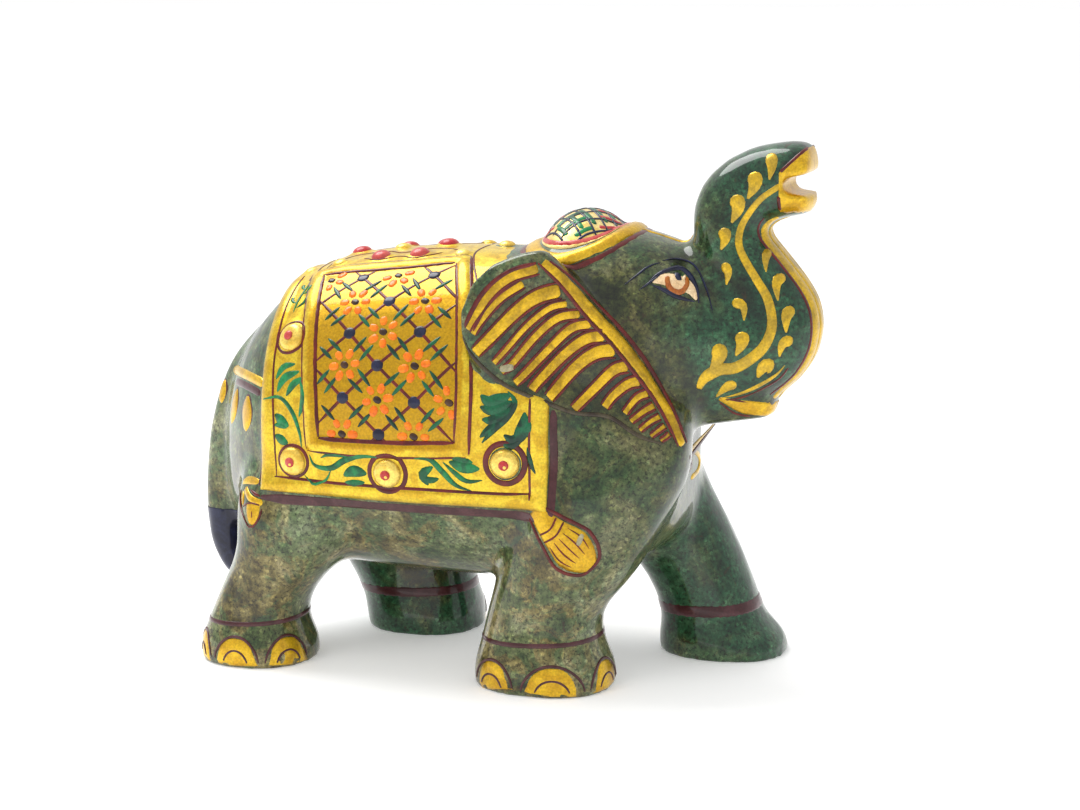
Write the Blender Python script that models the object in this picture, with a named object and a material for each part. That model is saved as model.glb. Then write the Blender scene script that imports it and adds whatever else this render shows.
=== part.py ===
"""An elephant with a raised trunk and a saddlecloth, carved from one block of green aventurine.

Metres, +Z up, the elephant walks towards +X and its right side is at -Y. The origin is at the middle of its
box, at the level of its soles. Run with: blender --background --python part.py
"""

import math

import bmesh
import bpy
from mathutils import Matrix, Vector
from mathutils.bvhtree import BVHTree

# Driving dimensions
HEIGHT = 0.0655  # soles to the top of the trunk
CLOTH_THICKNESS = 0.0008  # how far the saddlecloth stands off the hide
BOSS_DIAMETER = 0.0038  # the round studs in the saddlecloth's border
BOSS_HEIGHT = 0.0009
BEAD_DIAMETER = 0.0027  # the red domes along the spine
BEAD_HEIGHT = 0.0010
KNOB_DIAMETER = 0.0021  # the small gilded domes along the spine
KNOB_HEIGHT = 0.0006
TASSEL_THICKNESS = 0.0005  # how far a tassel stands off the hide
EYE_THICKNESS = 0.0006  # how far an eyeball stands out of its socket

# The figure is drawn on a carver's grid that has this many squares in its height
SQUARES_HIGH = 65.5
SQUARE = HEIGHT / SQUARES_HIGH

# How finely the blended surface is worked, in squares, and how many triangles are left at the end
ROUGHING_VOXEL = 0.85
FINISHING_VOXEL = 0.55
ROUGHING_PASSES = 8
FINISHING_PASSES = 4
TRIANGLES = 8600
RING_POINTS = 28
FAIRING_STEPS = 3
SUNK = 0.4  # how much of a stud's height again lies below the surface, so that it is part of the stone

RIGHT, LEFT = -1, 1


def squares(*numbers):
    """A point or size given in squares of the grid, in metres."""
    return Vector(n * SQUARE for n in numbers)


def ring(centre, axis_a, half_a, axis_b, half_b, squareness=2.3):
    """A closed rounded outline, from an ellipse at squareness 2 towards a rectangle above it."""
    power = 2 / squareness
    points = []
    for i in range(RING_POINTS):
        turn = 2 * math.pi * i / RING_POINTS
        a, b = math.cos(turn), math.sin(turn)
        a = math.copysign(abs(a) ** power, a) * half_a
        b = math.copysign(abs(b) ** power, b) * half_b
        points.append(centre + axis_a * a + axis_b * b)
    return points


def loft(bm, rings):
    """Joins rings of equal size into one closed skin."""
    loops = [[bm.verts.new(p) for p in points] for points in rings]
    for low, high in zip(loops, loops[1:]):
        for i in range(RING_POINTS):
            j = (i + 1) % RING_POINTS
            bm.faces.new((low[i], low[j], high[j], high[i]))
    bm.faces.new(loops[0])
    bm.faces.new(loops[-1])


X_AXIS, Y_AXIS, Z_AXIS = Vector((1, 0, 0)), Vector((0, 1, 0)), Vector((0, 0, 1))


def faired(stations):
    """The stations with smooth ones put between them."""
    padded = [stations[0], *stations, stations[-1]]
    result = []
    for before, start, end, after in zip(padded, padded[1:], padded[2:], padded[3:]):
        for step in range(FAIRING_STEPS):
            t = step / FAIRING_STEPS
            weights = (
                -0.5 * t + t**2 - 0.5 * t**3,
                1 - 2.5 * t**2 + 1.5 * t**3,
                0.5 * t + 2 * t**2 - 1.5 * t**3,
                -0.5 * t**2 + 0.5 * t**3,
            )
            result.append([sum(w * v for w, v in zip(weights, row)) for row in zip(before, start, end, after)])
    return result + [stations[-1]]


def upright_form(bm, stations, squareness=2.3):
    """A form across the length of the animal: forward, middle height, half width, half height."""
    loft(
        bm,
        [
            ring(squares(x, 0, z), Y_AXIS, half_y * SQUARE, Z_AXIS, half_z * SQUARE, squareness)
            for x, z, half_y, half_z in faired(stations)
        ],
    )


def leg(bm, side, stations):
    """A leg from the sole up: height, its back edge, its front edge, its middle and its half width across."""
    loft(
        bm,
        [
            ring(
                squares((back + front) / 2, side * middle, z),
                X_AXIS,
                (front - back) / 2 * SQUARE,
                Y_AXIS,
                half * SQUARE,
            )
            for z, back, front, middle, half in faired(stations)
        ],
    )


def bent_form(bm, stations, squareness=2.5):
    """A form along a line in the middle plane: forward, up, half depth in that plane, half width across."""
    stations = faired(stations)
    middles = [squares(x, 0, z) for x, z, _, _ in stations]
    rings = []
    for i, (_, _, depth, width) in enumerate(stations):
        along = (middles[min(i + 1, len(middles) - 1)] - middles[max(i - 1, 0)]).normalized()
        rings.append(
            ring(middles[i], along.cross(Y_AXIS), depth * SQUARE, Y_AXIS, width * SQUARE, squareness)
        )
    loft(bm, rings)


def object_of(bm, name):
    """Turns the bmesh into a linked object with its faces outwards."""
    bmesh.ops.recalc_face_normals(bm, faces=bm.faces)
    mesh = bpy.data.meshes.new(name)
    bm.to_mesh(mesh)
    bm.free()
    obj = bpy.data.objects.new(name, mesh)
    bpy.context.scene.collection.objects.link(obj)
    return obj


def helper(obj):
    """Keeps a blank or a cutter out of the finished part."""
    obj.hide_render = True
    obj.display_type = "WIRE"
    return obj


def blend(obj, voxel, passes):
    """Grinds overlapping skins into one smooth skin."""
    grind = obj.modifiers.new("grind", "REMESH")
    grind.mode = "VOXEL"
    grind.voxel_size = voxel * SQUARE
    polish = obj.modifiers.new("polish", "SMOOTH")
    polish.factor = 0.5
    polish.iterations = passes


def finished_mesh(obj):
    """The mesh of obj with its modifiers applied."""
    bpy.context.view_layer.update()
    graph = bpy.context.evaluated_depsgraph_get()
    return bpy.data.meshes.new_from_object(obj.evaluated_get(graph))


def rough_figure():
    """Body, legs, head, trunk, lower lip and tail, ground into one."""
    bm = bmesh.new()
    upright_form(  # body, from rump to chest
        bm,
        [
            (-37.0, 24.5, 4.5, 8.0),
            (-35.4, 25.6, 7.2, 11.2),
            (-32.0, 27.4, 11.0, 14.4),
            (-27.5, 28.9, 14.5, 17.0),
            (-21.0, 30.0, 16.6, 18.8),
            (-11.0, 30.4, 17.5, 19.8),
            (0.0, 30.7, 17.2, 20.0),
            (9.0, 31.4, 16.4, 19.0),
            (17.0, 29.6, 13.5, 15.6),
            (22.0, 28.0, 8.5, 10.0),
        ],
    )
    upright_form(  # neck, cheeks and brow
        bm,
        [
            (1.0, 40.4, 12.5, 10.0),
            (7.0, 41.5, 12.8, 10.7),
            (13.5, 42.3, 12.2, 11.8),
            (19.0, 42.0, 10.8, 11.4),
            (23.5, 41.2, 9.0, 10.2),
            (27.5, 41.0, 7.2, 8.2),
        ],
    )
    bent_form(  # trunk, from the face forward, up and over to the tip
        bm,
        [
            (22.0, 41.5, 7.6, 8.0),
            (27.5, 41.0, 7.6, 7.2),
            (30.6, 42.4, 7.5, 6.6),
            (31.3, 44.9, 6.7, 6.1),
            (29.8, 49.2, 4.7, 5.7),
            (27.2, 53.0, 4.2, 5.2),
            (27.2, 57.0, 4.5, 4.9),
            (29.9, 59.5, 4.5, 4.7),
            (33.4, 60.5, 4.5, 4.6),
            (36.9, 60.8, 4.4, 4.4),
        ],
    )
    bent_form(  # lower lip
        bm,
        [(20.0, 33.4, 3.6, 6.0), (25.5, 32.9, 2.0, 5.0), (30.5, 32.9, 1.1, 4.0), (33.0, 32.8, 0.8, 3.2)],
    )
    bent_form(  # tail, down the back of the rump
        bm,
        [
            (-32.0, 40.0, 1.6, 2.2),
            (-36.2, 34.6, 2.0, 2.5),
            (-38.6, 27.0, 2.3, 2.7),
            (-39.4, 18.5, 2.4, 2.7),
            (-38.8, 11.5, 2.3, 2.5),
            (-37.0, 7.0, 1.4, 1.7),
        ],
    )
    leg(  # right fore leg, planted back
        bm,
        RIGHT,
        [
            (-3.0, -0.8, 15.2, 10.4, 7.2),
            (1.8, -1.4, 16.0, 10.4, 7.8),
            (5.5, -0.4, 14.4, 10.2, 7.1),
            (9.0, 0.3, 14.2, 10.0, 6.8),
            (13.5, 1.5, 17.8, 9.8, 7.2),
            (20.0, 3.0, 21.6, 9.6, 7.6),
            (27.0, 4.5, 24.6, 9.0, 7.6),
            (35.0, 8.0, 24.0, 7.0, 6.0),
        ],
    )
    leg(  # left fore leg, striding forward
        bm,
        LEFT,
        [
            (-3.0, 17.0, 32.4, 10.4, 6.8),
            (1.6, 16.2, 32.6, 10.4, 7.4),
            (4.6, 16.6, 29.8, 10.3, 6.6),
            (9.0, 15.0, 28.2, 10.0, 6.3),
            (15.0, 10.6, 25.6, 9.8, 6.8),
            (22.0, 7.5, 22.0, 9.4, 7.0),
            (30.0, 6.0, 20.0, 7.0, 6.0),
        ],
    )
    leg(  # right hind leg, planted back
        bm,
        RIGHT,
        [
            (-3.0, -36.8, -23.2, 10.2, 6.8),
            (1.8, -37.4, -22.9, 10.2, 7.5),
            (5.5, -36.2, -24.4, 10.1, 6.5),
            (9.5, -34.5, -22.6, 10.0, 6.4),
            (14.0, -32.6, -18.4, 9.9, 6.9),
            (21.0, -32.6, -14.0, 9.4, 7.0),
            (30.0, -30.0, -14.0, 7.0, 6.0),
        ],
    )
    leg(  # left hind leg, striding forward
        bm,
        LEFT,
        [
            (-3.0, -22.4, -8.4, 10.2, 6.8),
            (1.8, -23.2, -7.6, 10.2, 7.4),
            (5.0, -24.0, -8.4, 10.1, 6.7),
            (9.0, -26.4, -9.4, 10.0, 6.5),
            (14.0, -29.4, -10.2, 9.9, 6.9),
            (21.0, -31.0, -12.0, 9.4, 7.0),
            (30.0, -29.0, -14.0, 7.0, 6.0),
        ],
    )
    figure = object_of(bm, "rough_figure")
    blend(figure, ROUGHING_VOXEL, ROUGHING_PASSES)
    return helper(figure)


def box_between(low, high, name):
    """A plain block between two corners."""
    bm = bmesh.new()
    size = high - low
    bmesh.ops.create_cube(
        bm,
        size=1,
        matrix=Matrix.Translation((low + high) / 2) @ Matrix.Diagonal((*size, 1)),
    )
    return object_of(bm, name)


CLOTH_BACK, CLOTH_FRONT, CLOTH_HEM = -27.3, 9.4, 22.4  # the cloth's two ends, forward, and its hem, up


def saddlecloth(figure_mesh):
    """The figure's own skin stood off by the cloth's thickness, and cut to the cloth's outline."""
    cloth = bpy.data.objects.new("saddlecloth", figure_mesh.copy())
    bpy.context.scene.collection.objects.link(cloth)
    stand_off = cloth.modifiers.new("stand_off", "DISPLACE")
    stand_off.strength = CLOTH_THICKNESS
    stand_off.mid_level = 0
    outline = helper(
        box_between(squares(CLOTH_BACK, -30.0, CLOTH_HEM), squares(CLOTH_FRONT, 30.0, 70.0), "cloth_outline")
    )
    trim = cloth.modifiers.new("trim", "BOOLEAN")
    trim.operation = "INTERSECT"
    trim.object = outline
    return helper(cloth)


# The ear's outline, forward and up: a corner at the top, a round back edge, a low edge that runs to a blunt
# point, and a front edge back up to the corner
EAR_TOP = (8.4, 53.0)
EAR_ROUND_MIDDLE = (7.3, 44.5)
EAR_ROUND_RADIUS = 8.15
EAR_ROUND_TURN = (102.0, 262.0)  # where the round starts and ends, in degrees from straight forward
EAR_ROUND_STEPS = 7
EAR_POINT_BACK = (23.6, 29.4)  # the two corners of the blunt point
EAR_POINT_FRONT = (24.8, 30.0)
EAR_LOW_BOW = 0.5  # how far the low and the front edge swell outwards at their middle
EAR_FRONT_BOW = 1.1
EAR_EDGE_STEPS = 4
EAR_FRONT = 24.0  # where the ear is closest in, and how fast it stands away from there to the back
EAR_CLOSE = 11.0
EAR_FLARE = 0.32
EAR_EDGE = 2.3  # how thick the ear's edge is
EAR_ROOT = 6.5  # where the ear ends inside the neck, how small it is there, and about which point
EAR_ROOT_SHARE = 0.5
EAR_ROOT_PLACE = (14.0, 41.5)


def bowed_edge(start, end, bow):
    """Points between two corners of the ear, on an edge that swells outwards by so much at its middle."""
    start, end = Vector(start), Vector(end)
    along = end - start
    outwards = Vector((along.y, -along.x)).normalized()
    shares = [i / EAR_EDGE_STEPS for i in range(1, EAR_EDGE_STEPS)]
    return [start + along * t + outwards * bow * 4 * t * (1 - t) for t in shares]


def ear_outline():
    """The ear's outline from its top front corner, back over the round edge and down to its point."""
    start, end = (math.radians(turn) for turn in EAR_ROUND_TURN)
    turns = [start + (end - start) * i / EAR_ROUND_STEPS for i in range(EAR_ROUND_STEPS + 1)]
    middle = Vector(EAR_ROUND_MIDDLE)
    round_edge = [middle + Vector((math.cos(turn), math.sin(turn))) * EAR_ROUND_RADIUS for turn in turns]
    low_edge = bowed_edge(round_edge[-1], EAR_POINT_BACK, EAR_LOW_BOW)
    front_edge = bowed_edge(EAR_POINT_FRONT, EAR_TOP, EAR_FRONT_BOW)
    return [EAR_TOP, *round_edge, *low_edge, EAR_POINT_BACK, EAR_POINT_FRONT, *front_edge]


def ear(bm, side):
    """A flaring plate that narrows behind its edge to a root sunk in the neck."""
    outer, edge, root = [], [], []
    for x, z in ear_outline():
        stand = EAR_CLOSE + EAR_FLARE * (EAR_FRONT - x)
        outer.append(bm.verts.new(squares(x, side * stand, z)))
        edge.append(bm.verts.new(squares(x, side * (stand - EAR_EDGE), z)))
        root_x, root_z = (
            c + (v - c) * EAR_ROOT_SHARE for v, c in zip((x, z), EAR_ROOT_PLACE)
        )
        root.append(bm.verts.new(squares(root_x, side * EAR_ROOT, root_z)))
    for far, near in ((outer, edge), (edge, root)):
        for i in range(len(far)):
            j = (i + 1) % len(far)
            bm.faces.new((far[i], far[j], near[j], near[i]))
    bm.faces.new(outer)
    bm.faces.new(root)


def dome(bm, centre, axis, radius, height):
    """A low dome on a surface, with its foot sunk below it."""
    turn = axis.to_track_quat("Z", "X").to_matrix().to_4x4()
    shape = Matrix.Diagonal((radius, radius, height, 1))
    bmesh.ops.create_uvsphere(
        bm,
        u_segments=16,
        v_segments=10,
        radius=1,
        matrix=Matrix.Translation(centre - axis * height * SUNK) @ turn @ shape,
    )


# Where the studs of the border sit, forward and up, on both sides, to half a square of the grid
BOSSES = [(-23.5, 41.0), (-22.5, 26.5), (-10.0, 26.0), (4.5, 28.0)]
# Where the domes sit along the spine, forward, and across on both sides
BEADS = [(-20.0, 0.0), (-15.5, 5.0), (-10.5, 5.0), (-8.5, 0.0)]
KNOBS = [(-14.5, 0.0), (-25.5, 3.5), (-21.0, 5.0), (-5.0, 5.0), (-1.0, 0.0)]


def studs(bm, skin):
    """Studs on the flanks and domes along the spine, square to the skin where they sit."""
    reach = squares(0, 60.0, 0).y
    for x, z in BOSSES:
        for side in (RIGHT, LEFT):
            start = squares(x, 0, z) + Y_AXIS * side * reach
            place, normal, _, _ = skin.ray_cast(start, Y_AXIS * -side)
            dome(bm, place, normal, BOSS_DIAMETER / 2, BOSS_HEIGHT / (1 - SUNK))
    for places, diameter, height in ((BEADS, BEAD_DIAMETER, BEAD_HEIGHT), (KNOBS, KNOB_DIAMETER, KNOB_HEIGHT)):
        for x, y in places:
            for side in (RIGHT, LEFT) if y else (RIGHT,):
                start = squares(x, side * y, 0) + Z_AXIS * reach * 2
                place, normal, _, _ = skin.ray_cast(start, -Z_AXIS)
                dome(bm, place, normal, diameter / 2, height / (1 - SUNK))


# Almond swellings on both sides: forward, up, tilt from upright in degrees, half length, half width
TASSELS = [(11.0, 19.2, 50.0, 4.6, 2.9), (-28.4, 20.4, -8.0, 3.4, 1.8)]
EYES = [(22.1, 48.5, 68.0, 3.0, 1.7)]


def swellings(bm, skin, places, thickness):
    """Almond shapes a little proud of the hide, along a line that leans from upright by the tilt."""
    reach = squares(0, 60.0, 0).y
    for x, z, tilt, half_long, half_wide in places:
        for side in (RIGHT, LEFT):
            start = squares(x, 0, z) + Y_AXIS * side * reach
            place, normal, _, _ = skin.ray_cast(start, Y_AXIS * -side)
            down = Vector((math.sin(math.radians(tilt)), 0, -math.cos(math.radians(tilt))))
            down = (down - normal * down.dot(normal)).normalized()
            frame = Matrix((down, normal.cross(down), normal)).transposed().to_4x4()
            height = thickness / (1 - SUNK)
            shape = Matrix.Diagonal((half_long * SQUARE, half_wide * SQUARE, height, 1))
            bmesh.ops.create_uvsphere(
                bm,
                u_segments=20,
                v_segments=10,
                radius=1,
                matrix=Matrix.Translation(place - normal * height * SUNK) @ frame @ shape,
            )


CAP_PLACE = (9.5, 50.5)  # forward and up
CAP_TILT = 12.0  # how far its front is raised, in degrees
CAP_HALVES = (5.4, 8.3, 5.8)  # forward, across and up
RIM_PLACE = (9.2, 52.8)
RIM_HALVES = (5.9, 8.8)
RIM_DROOP = 1.8  # how much lower the rim is at the sides than at its front and back
RIM_RADIUS = 0.85
RIM_STEPS = 40


def head_cap(bm):
    """The domed cap on the crown and the roll that runs round its foot."""
    tilt = Matrix.Rotation(math.radians(-CAP_TILT), 4, "Y")
    x, z = CAP_PLACE
    bmesh.ops.create_uvsphere(
        bm,
        u_segments=32,
        v_segments=20,
        radius=1,
        matrix=Matrix.Translation(squares(x, 0, z)) @ tilt @ Matrix.Diagonal((*squares(*CAP_HALVES), 1)),
    )
    x, z = RIM_PLACE
    place = Matrix.Translation(squares(x, 0, z)) @ tilt
    loops = []
    for i in range(RIM_STEPS):
        turn = 2 * math.pi * i / RIM_STEPS
        out = Vector((math.cos(turn), math.sin(turn), 0))
        middle = squares(out.x * RIM_HALVES[0], out.y * RIM_HALVES[1], -RIM_DROOP * out.y**2)
        points = ring(middle, out, RIM_RADIUS * SQUARE, Z_AXIS, RIM_RADIUS * SQUARE, 2)
        loops.append([bm.verts.new(place @ p) for p in points])
    for this, following in zip(loops, loops[1:] + loops[:1]):
        for i in range(RING_POINTS):
            j = (i + 1) % RING_POINTS
            bm.faces.new((this[i], this[j], following[j], following[i]))


TIP_NOTCH = (34.8, 60.1)  # the slot in the trunk's end: its inner end's middle, forward and up
NOTCH_RADIUS = 1.1
NOTCH_REACH = 6.0


def tip_notch():
    """The cutter for the slot between the two fingers of the trunk."""
    x, z = TIP_NOTCH
    half_across = 10.0
    bm = bmesh.new()
    outline = [
        squares(
            x + NOTCH_RADIUS * math.cos(math.pi / 2 + math.pi * i / 8),
            -half_across,
            z + NOTCH_RADIUS * math.sin(math.pi / 2 + math.pi * i / 8),
        )
        for i in range(9)
    ]
    outline.append(squares(x + NOTCH_REACH, -half_across, z - NOTCH_RADIUS * 1.6))
    outline.append(squares(x + NOTCH_REACH, -half_across, z + NOTCH_RADIUS * 1.6))
    near = [bm.verts.new(p) for p in outline]
    face = bm.faces.new(near)
    far = bmesh.ops.extrude_face_region(bm, geom=[face])["geom"]
    moved = [v for v in far if isinstance(v, bmesh.types.BMVert)]
    bmesh.ops.translate(bm, verts=moved, vec=squares(0, 2 * half_across, 0))
    return helper(object_of(bm, "tip_notch"))


def aventurine():
    """Polished green stone."""
    material = bpy.data.materials.new("green_aventurine")
    material.use_nodes = True
    shader = material.node_tree.nodes["Principled BSDF"]
    shader.inputs["Base Color"].default_value = (0.10, 0.16, 0.10, 1)
    shader.inputs["Roughness"].default_value = 0.25
    shader.inputs["Metallic"].default_value = 0
    return material


def centre_on_base(mesh):
    """Puts the origin at the middle of the box, at the level of the soles."""
    xs = [v.co.x for v in mesh.vertices]
    ys = [v.co.y for v in mesh.vertices]
    middle = Vector(((min(xs) + max(xs)) / 2, (min(ys) + max(ys)) / 2, 0))
    mesh.transform(Matrix.Translation(-middle))


def carving():
    """The whole figure as one solid."""
    rough_mesh = finished_mesh(rough_figure())
    cloth_mesh = finished_mesh(saddlecloth(rough_mesh))
    bm = bmesh.new()
    bm.from_mesh(rough_mesh)
    bm.from_mesh(cloth_mesh)
    skin = BVHTree.FromBMesh(bm)
    studs(bm, skin)
    swellings(bm, skin, TASSELS, TASSEL_THICKNESS)
    swellings(bm, skin, EYES, EYE_THICKNESS)
    head_cap(bm)
    for side in (RIGHT, LEFT):
        ear(bm, side)
    figure = helper(object_of(bm, "dressed_figure"))
    blend(figure, FINISHING_VOXEL, FINISHING_PASSES)
    slot = figure.modifiers.new("slot", "BOOLEAN")
    slot.operation = "DIFFERENCE"
    slot.object = tip_notch()
    ground_mesh = finished_mesh(figure)

    solid = bpy.data.objects.new("elephant", ground_mesh)
    bpy.context.scene.collection.objects.link(solid)
    even = solid.modifiers.new("even", "TRIANGULATE")
    even.min_vertices = 4
    thin = solid.modifiers.new("thin", "DECIMATE")
    corners = sum(len(p.vertices) - 2 for p in ground_mesh.polygons)
    thin.ratio = TRIANGLES / corners
    soles = solid.modifiers.new("soles", "BOOLEAN")
    soles.operation = "DIFFERENCE"
    soles.object = helper(box_between(squares(-90, -90, -30), squares(90, 90, 0), "ground"))
    mesh = finished_mesh(solid)
    solid.modifiers.clear()
    solid.data = mesh
    centre_on_base(mesh)
    mesh.shade_smooth()
    mesh.materials.append(aventurine())
    return solid


def main():
    for obj in list(bpy.data.objects):
        bpy.data.objects.remove(obj)
    carving()


main()
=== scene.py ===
import math

import bpy
import numpy as np
from mathutils import Matrix, Vector
from mathutils.bvhtree import BVHTree


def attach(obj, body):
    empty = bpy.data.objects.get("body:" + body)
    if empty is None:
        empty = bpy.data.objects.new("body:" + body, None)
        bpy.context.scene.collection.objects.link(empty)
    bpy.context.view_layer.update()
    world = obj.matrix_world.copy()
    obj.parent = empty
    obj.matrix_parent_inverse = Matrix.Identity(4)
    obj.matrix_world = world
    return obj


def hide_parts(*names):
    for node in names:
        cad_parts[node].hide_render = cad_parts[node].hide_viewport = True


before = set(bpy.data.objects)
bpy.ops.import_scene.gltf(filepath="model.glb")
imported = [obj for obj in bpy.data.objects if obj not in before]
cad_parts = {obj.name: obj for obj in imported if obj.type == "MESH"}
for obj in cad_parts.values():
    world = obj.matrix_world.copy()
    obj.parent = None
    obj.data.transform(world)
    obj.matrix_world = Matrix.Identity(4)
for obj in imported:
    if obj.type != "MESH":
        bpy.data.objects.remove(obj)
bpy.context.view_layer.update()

# The carving. One block of green aventurine, sawn, ground and polished by hand, with the ears, the cap and
# the saddlecloth left standing proud of the hide. Its colour wanders from deep green to brown as the
# block's did, and the far side low down is darkened to the deep greens as painted shade.

STONE_GRAIN = 0.00042  # how finely the ground surface is modelled
STONE_POLISH = 7  # passes of smoothing, which leave the edges as soft as a polishing wheel does
SET_DOWN = Vector((1.7455, -0.02, 0.0))  # from the carver's drawing to the middle of the soles, millimetres


def alone(piece):
    """Only this piece selected and active."""
    bpy.ops.object.select_all(action="DESELECT")
    piece.select_set(True)
    bpy.context.view_layer.objects.active = piece


def fitted(piece, material):
    """A finished piece gets its material and its place in the frame."""
    piece.data.materials.clear()
    piece.data.materials.append(material)
    piece.data.shade_smooth()
    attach(piece, "root")
    return piece


def node_in(material, kind, **settings):
    """A new node with its settings; a name with two underscores in it sets an input."""
    node = material.node_tree.nodes.new(kind)
    for key, value in settings.items():
        if key.startswith("in__"):
            node.inputs[key[4:].replace("_", " ")].default_value = value
        else:
            setattr(node, key, value)
    return node


def paint_material(name):
    """An empty material with its shader, and how to link two sockets in it."""
    material = bpy.data.materials.new(name)
    material.use_nodes = True
    nodes = material.node_tree.nodes
    shader = next(n for n in nodes if n.type == "BSDF_PRINCIPLED")
    return material, shader, material.node_tree.links.new


def ramp_in(material, *stops):
    """A colour ramp through the stops: place and colour or grey."""
    node = material.node_tree.nodes.new("ShaderNodeValToRGB")
    elements = node.color_ramp.elements
    while len(elements) < len(stops):
        elements.new(0.5)
    for element, (place, colour) in zip(elements, stops):
        element.position = place
        element.color = (*((colour,) * 3 if isinstance(colour, float) else colour), 1)
    return node


def mixed(material, blend, share, first, second):
    """Two colours mixed; each is a socket or a colour, and the share is a socket or a number."""
    node = material.node_tree.nodes.new("ShaderNodeMix")
    node.data_type = "RGBA"
    node.blend_type = blend
    for key, value in ((0, share), (6, first), (7, second)):
        if isinstance(value, bpy.types.NodeSocket):
            material.node_tree.links.new(value, node.inputs[key])
        else:
            node.inputs[key].default_value = value if key == 0 else (*value, 1)
    return node.outputs[2]


def reckoned(material, operation, first, second=0.5, clamp=False):
    """A number worked out from two sockets or numbers."""
    node = material.node_tree.nodes.new("ShaderNodeMath")
    node.operation = operation
    node.use_clamp = clamp
    for key, value in ((0, first), (1, second)):
        if isinstance(value, bpy.types.NodeSocket):
            material.node_tree.links.new(value, node.inputs[key])
        else:
            node.inputs[key].default_value = value
    return node.outputs[0]


def noise_in(material, coords, scale, detail=3.0, roughness=0.55, distortion=0.0):
    node = node_in(
        material, "ShaderNodeTexNoise",
        in__Scale=scale, in__Detail=detail, in__Roughness=roughness, in__Distortion=distortion,
    )
    material.node_tree.links.new(coords, node.inputs["Vector"])
    return node.outputs["Fac"]


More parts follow.
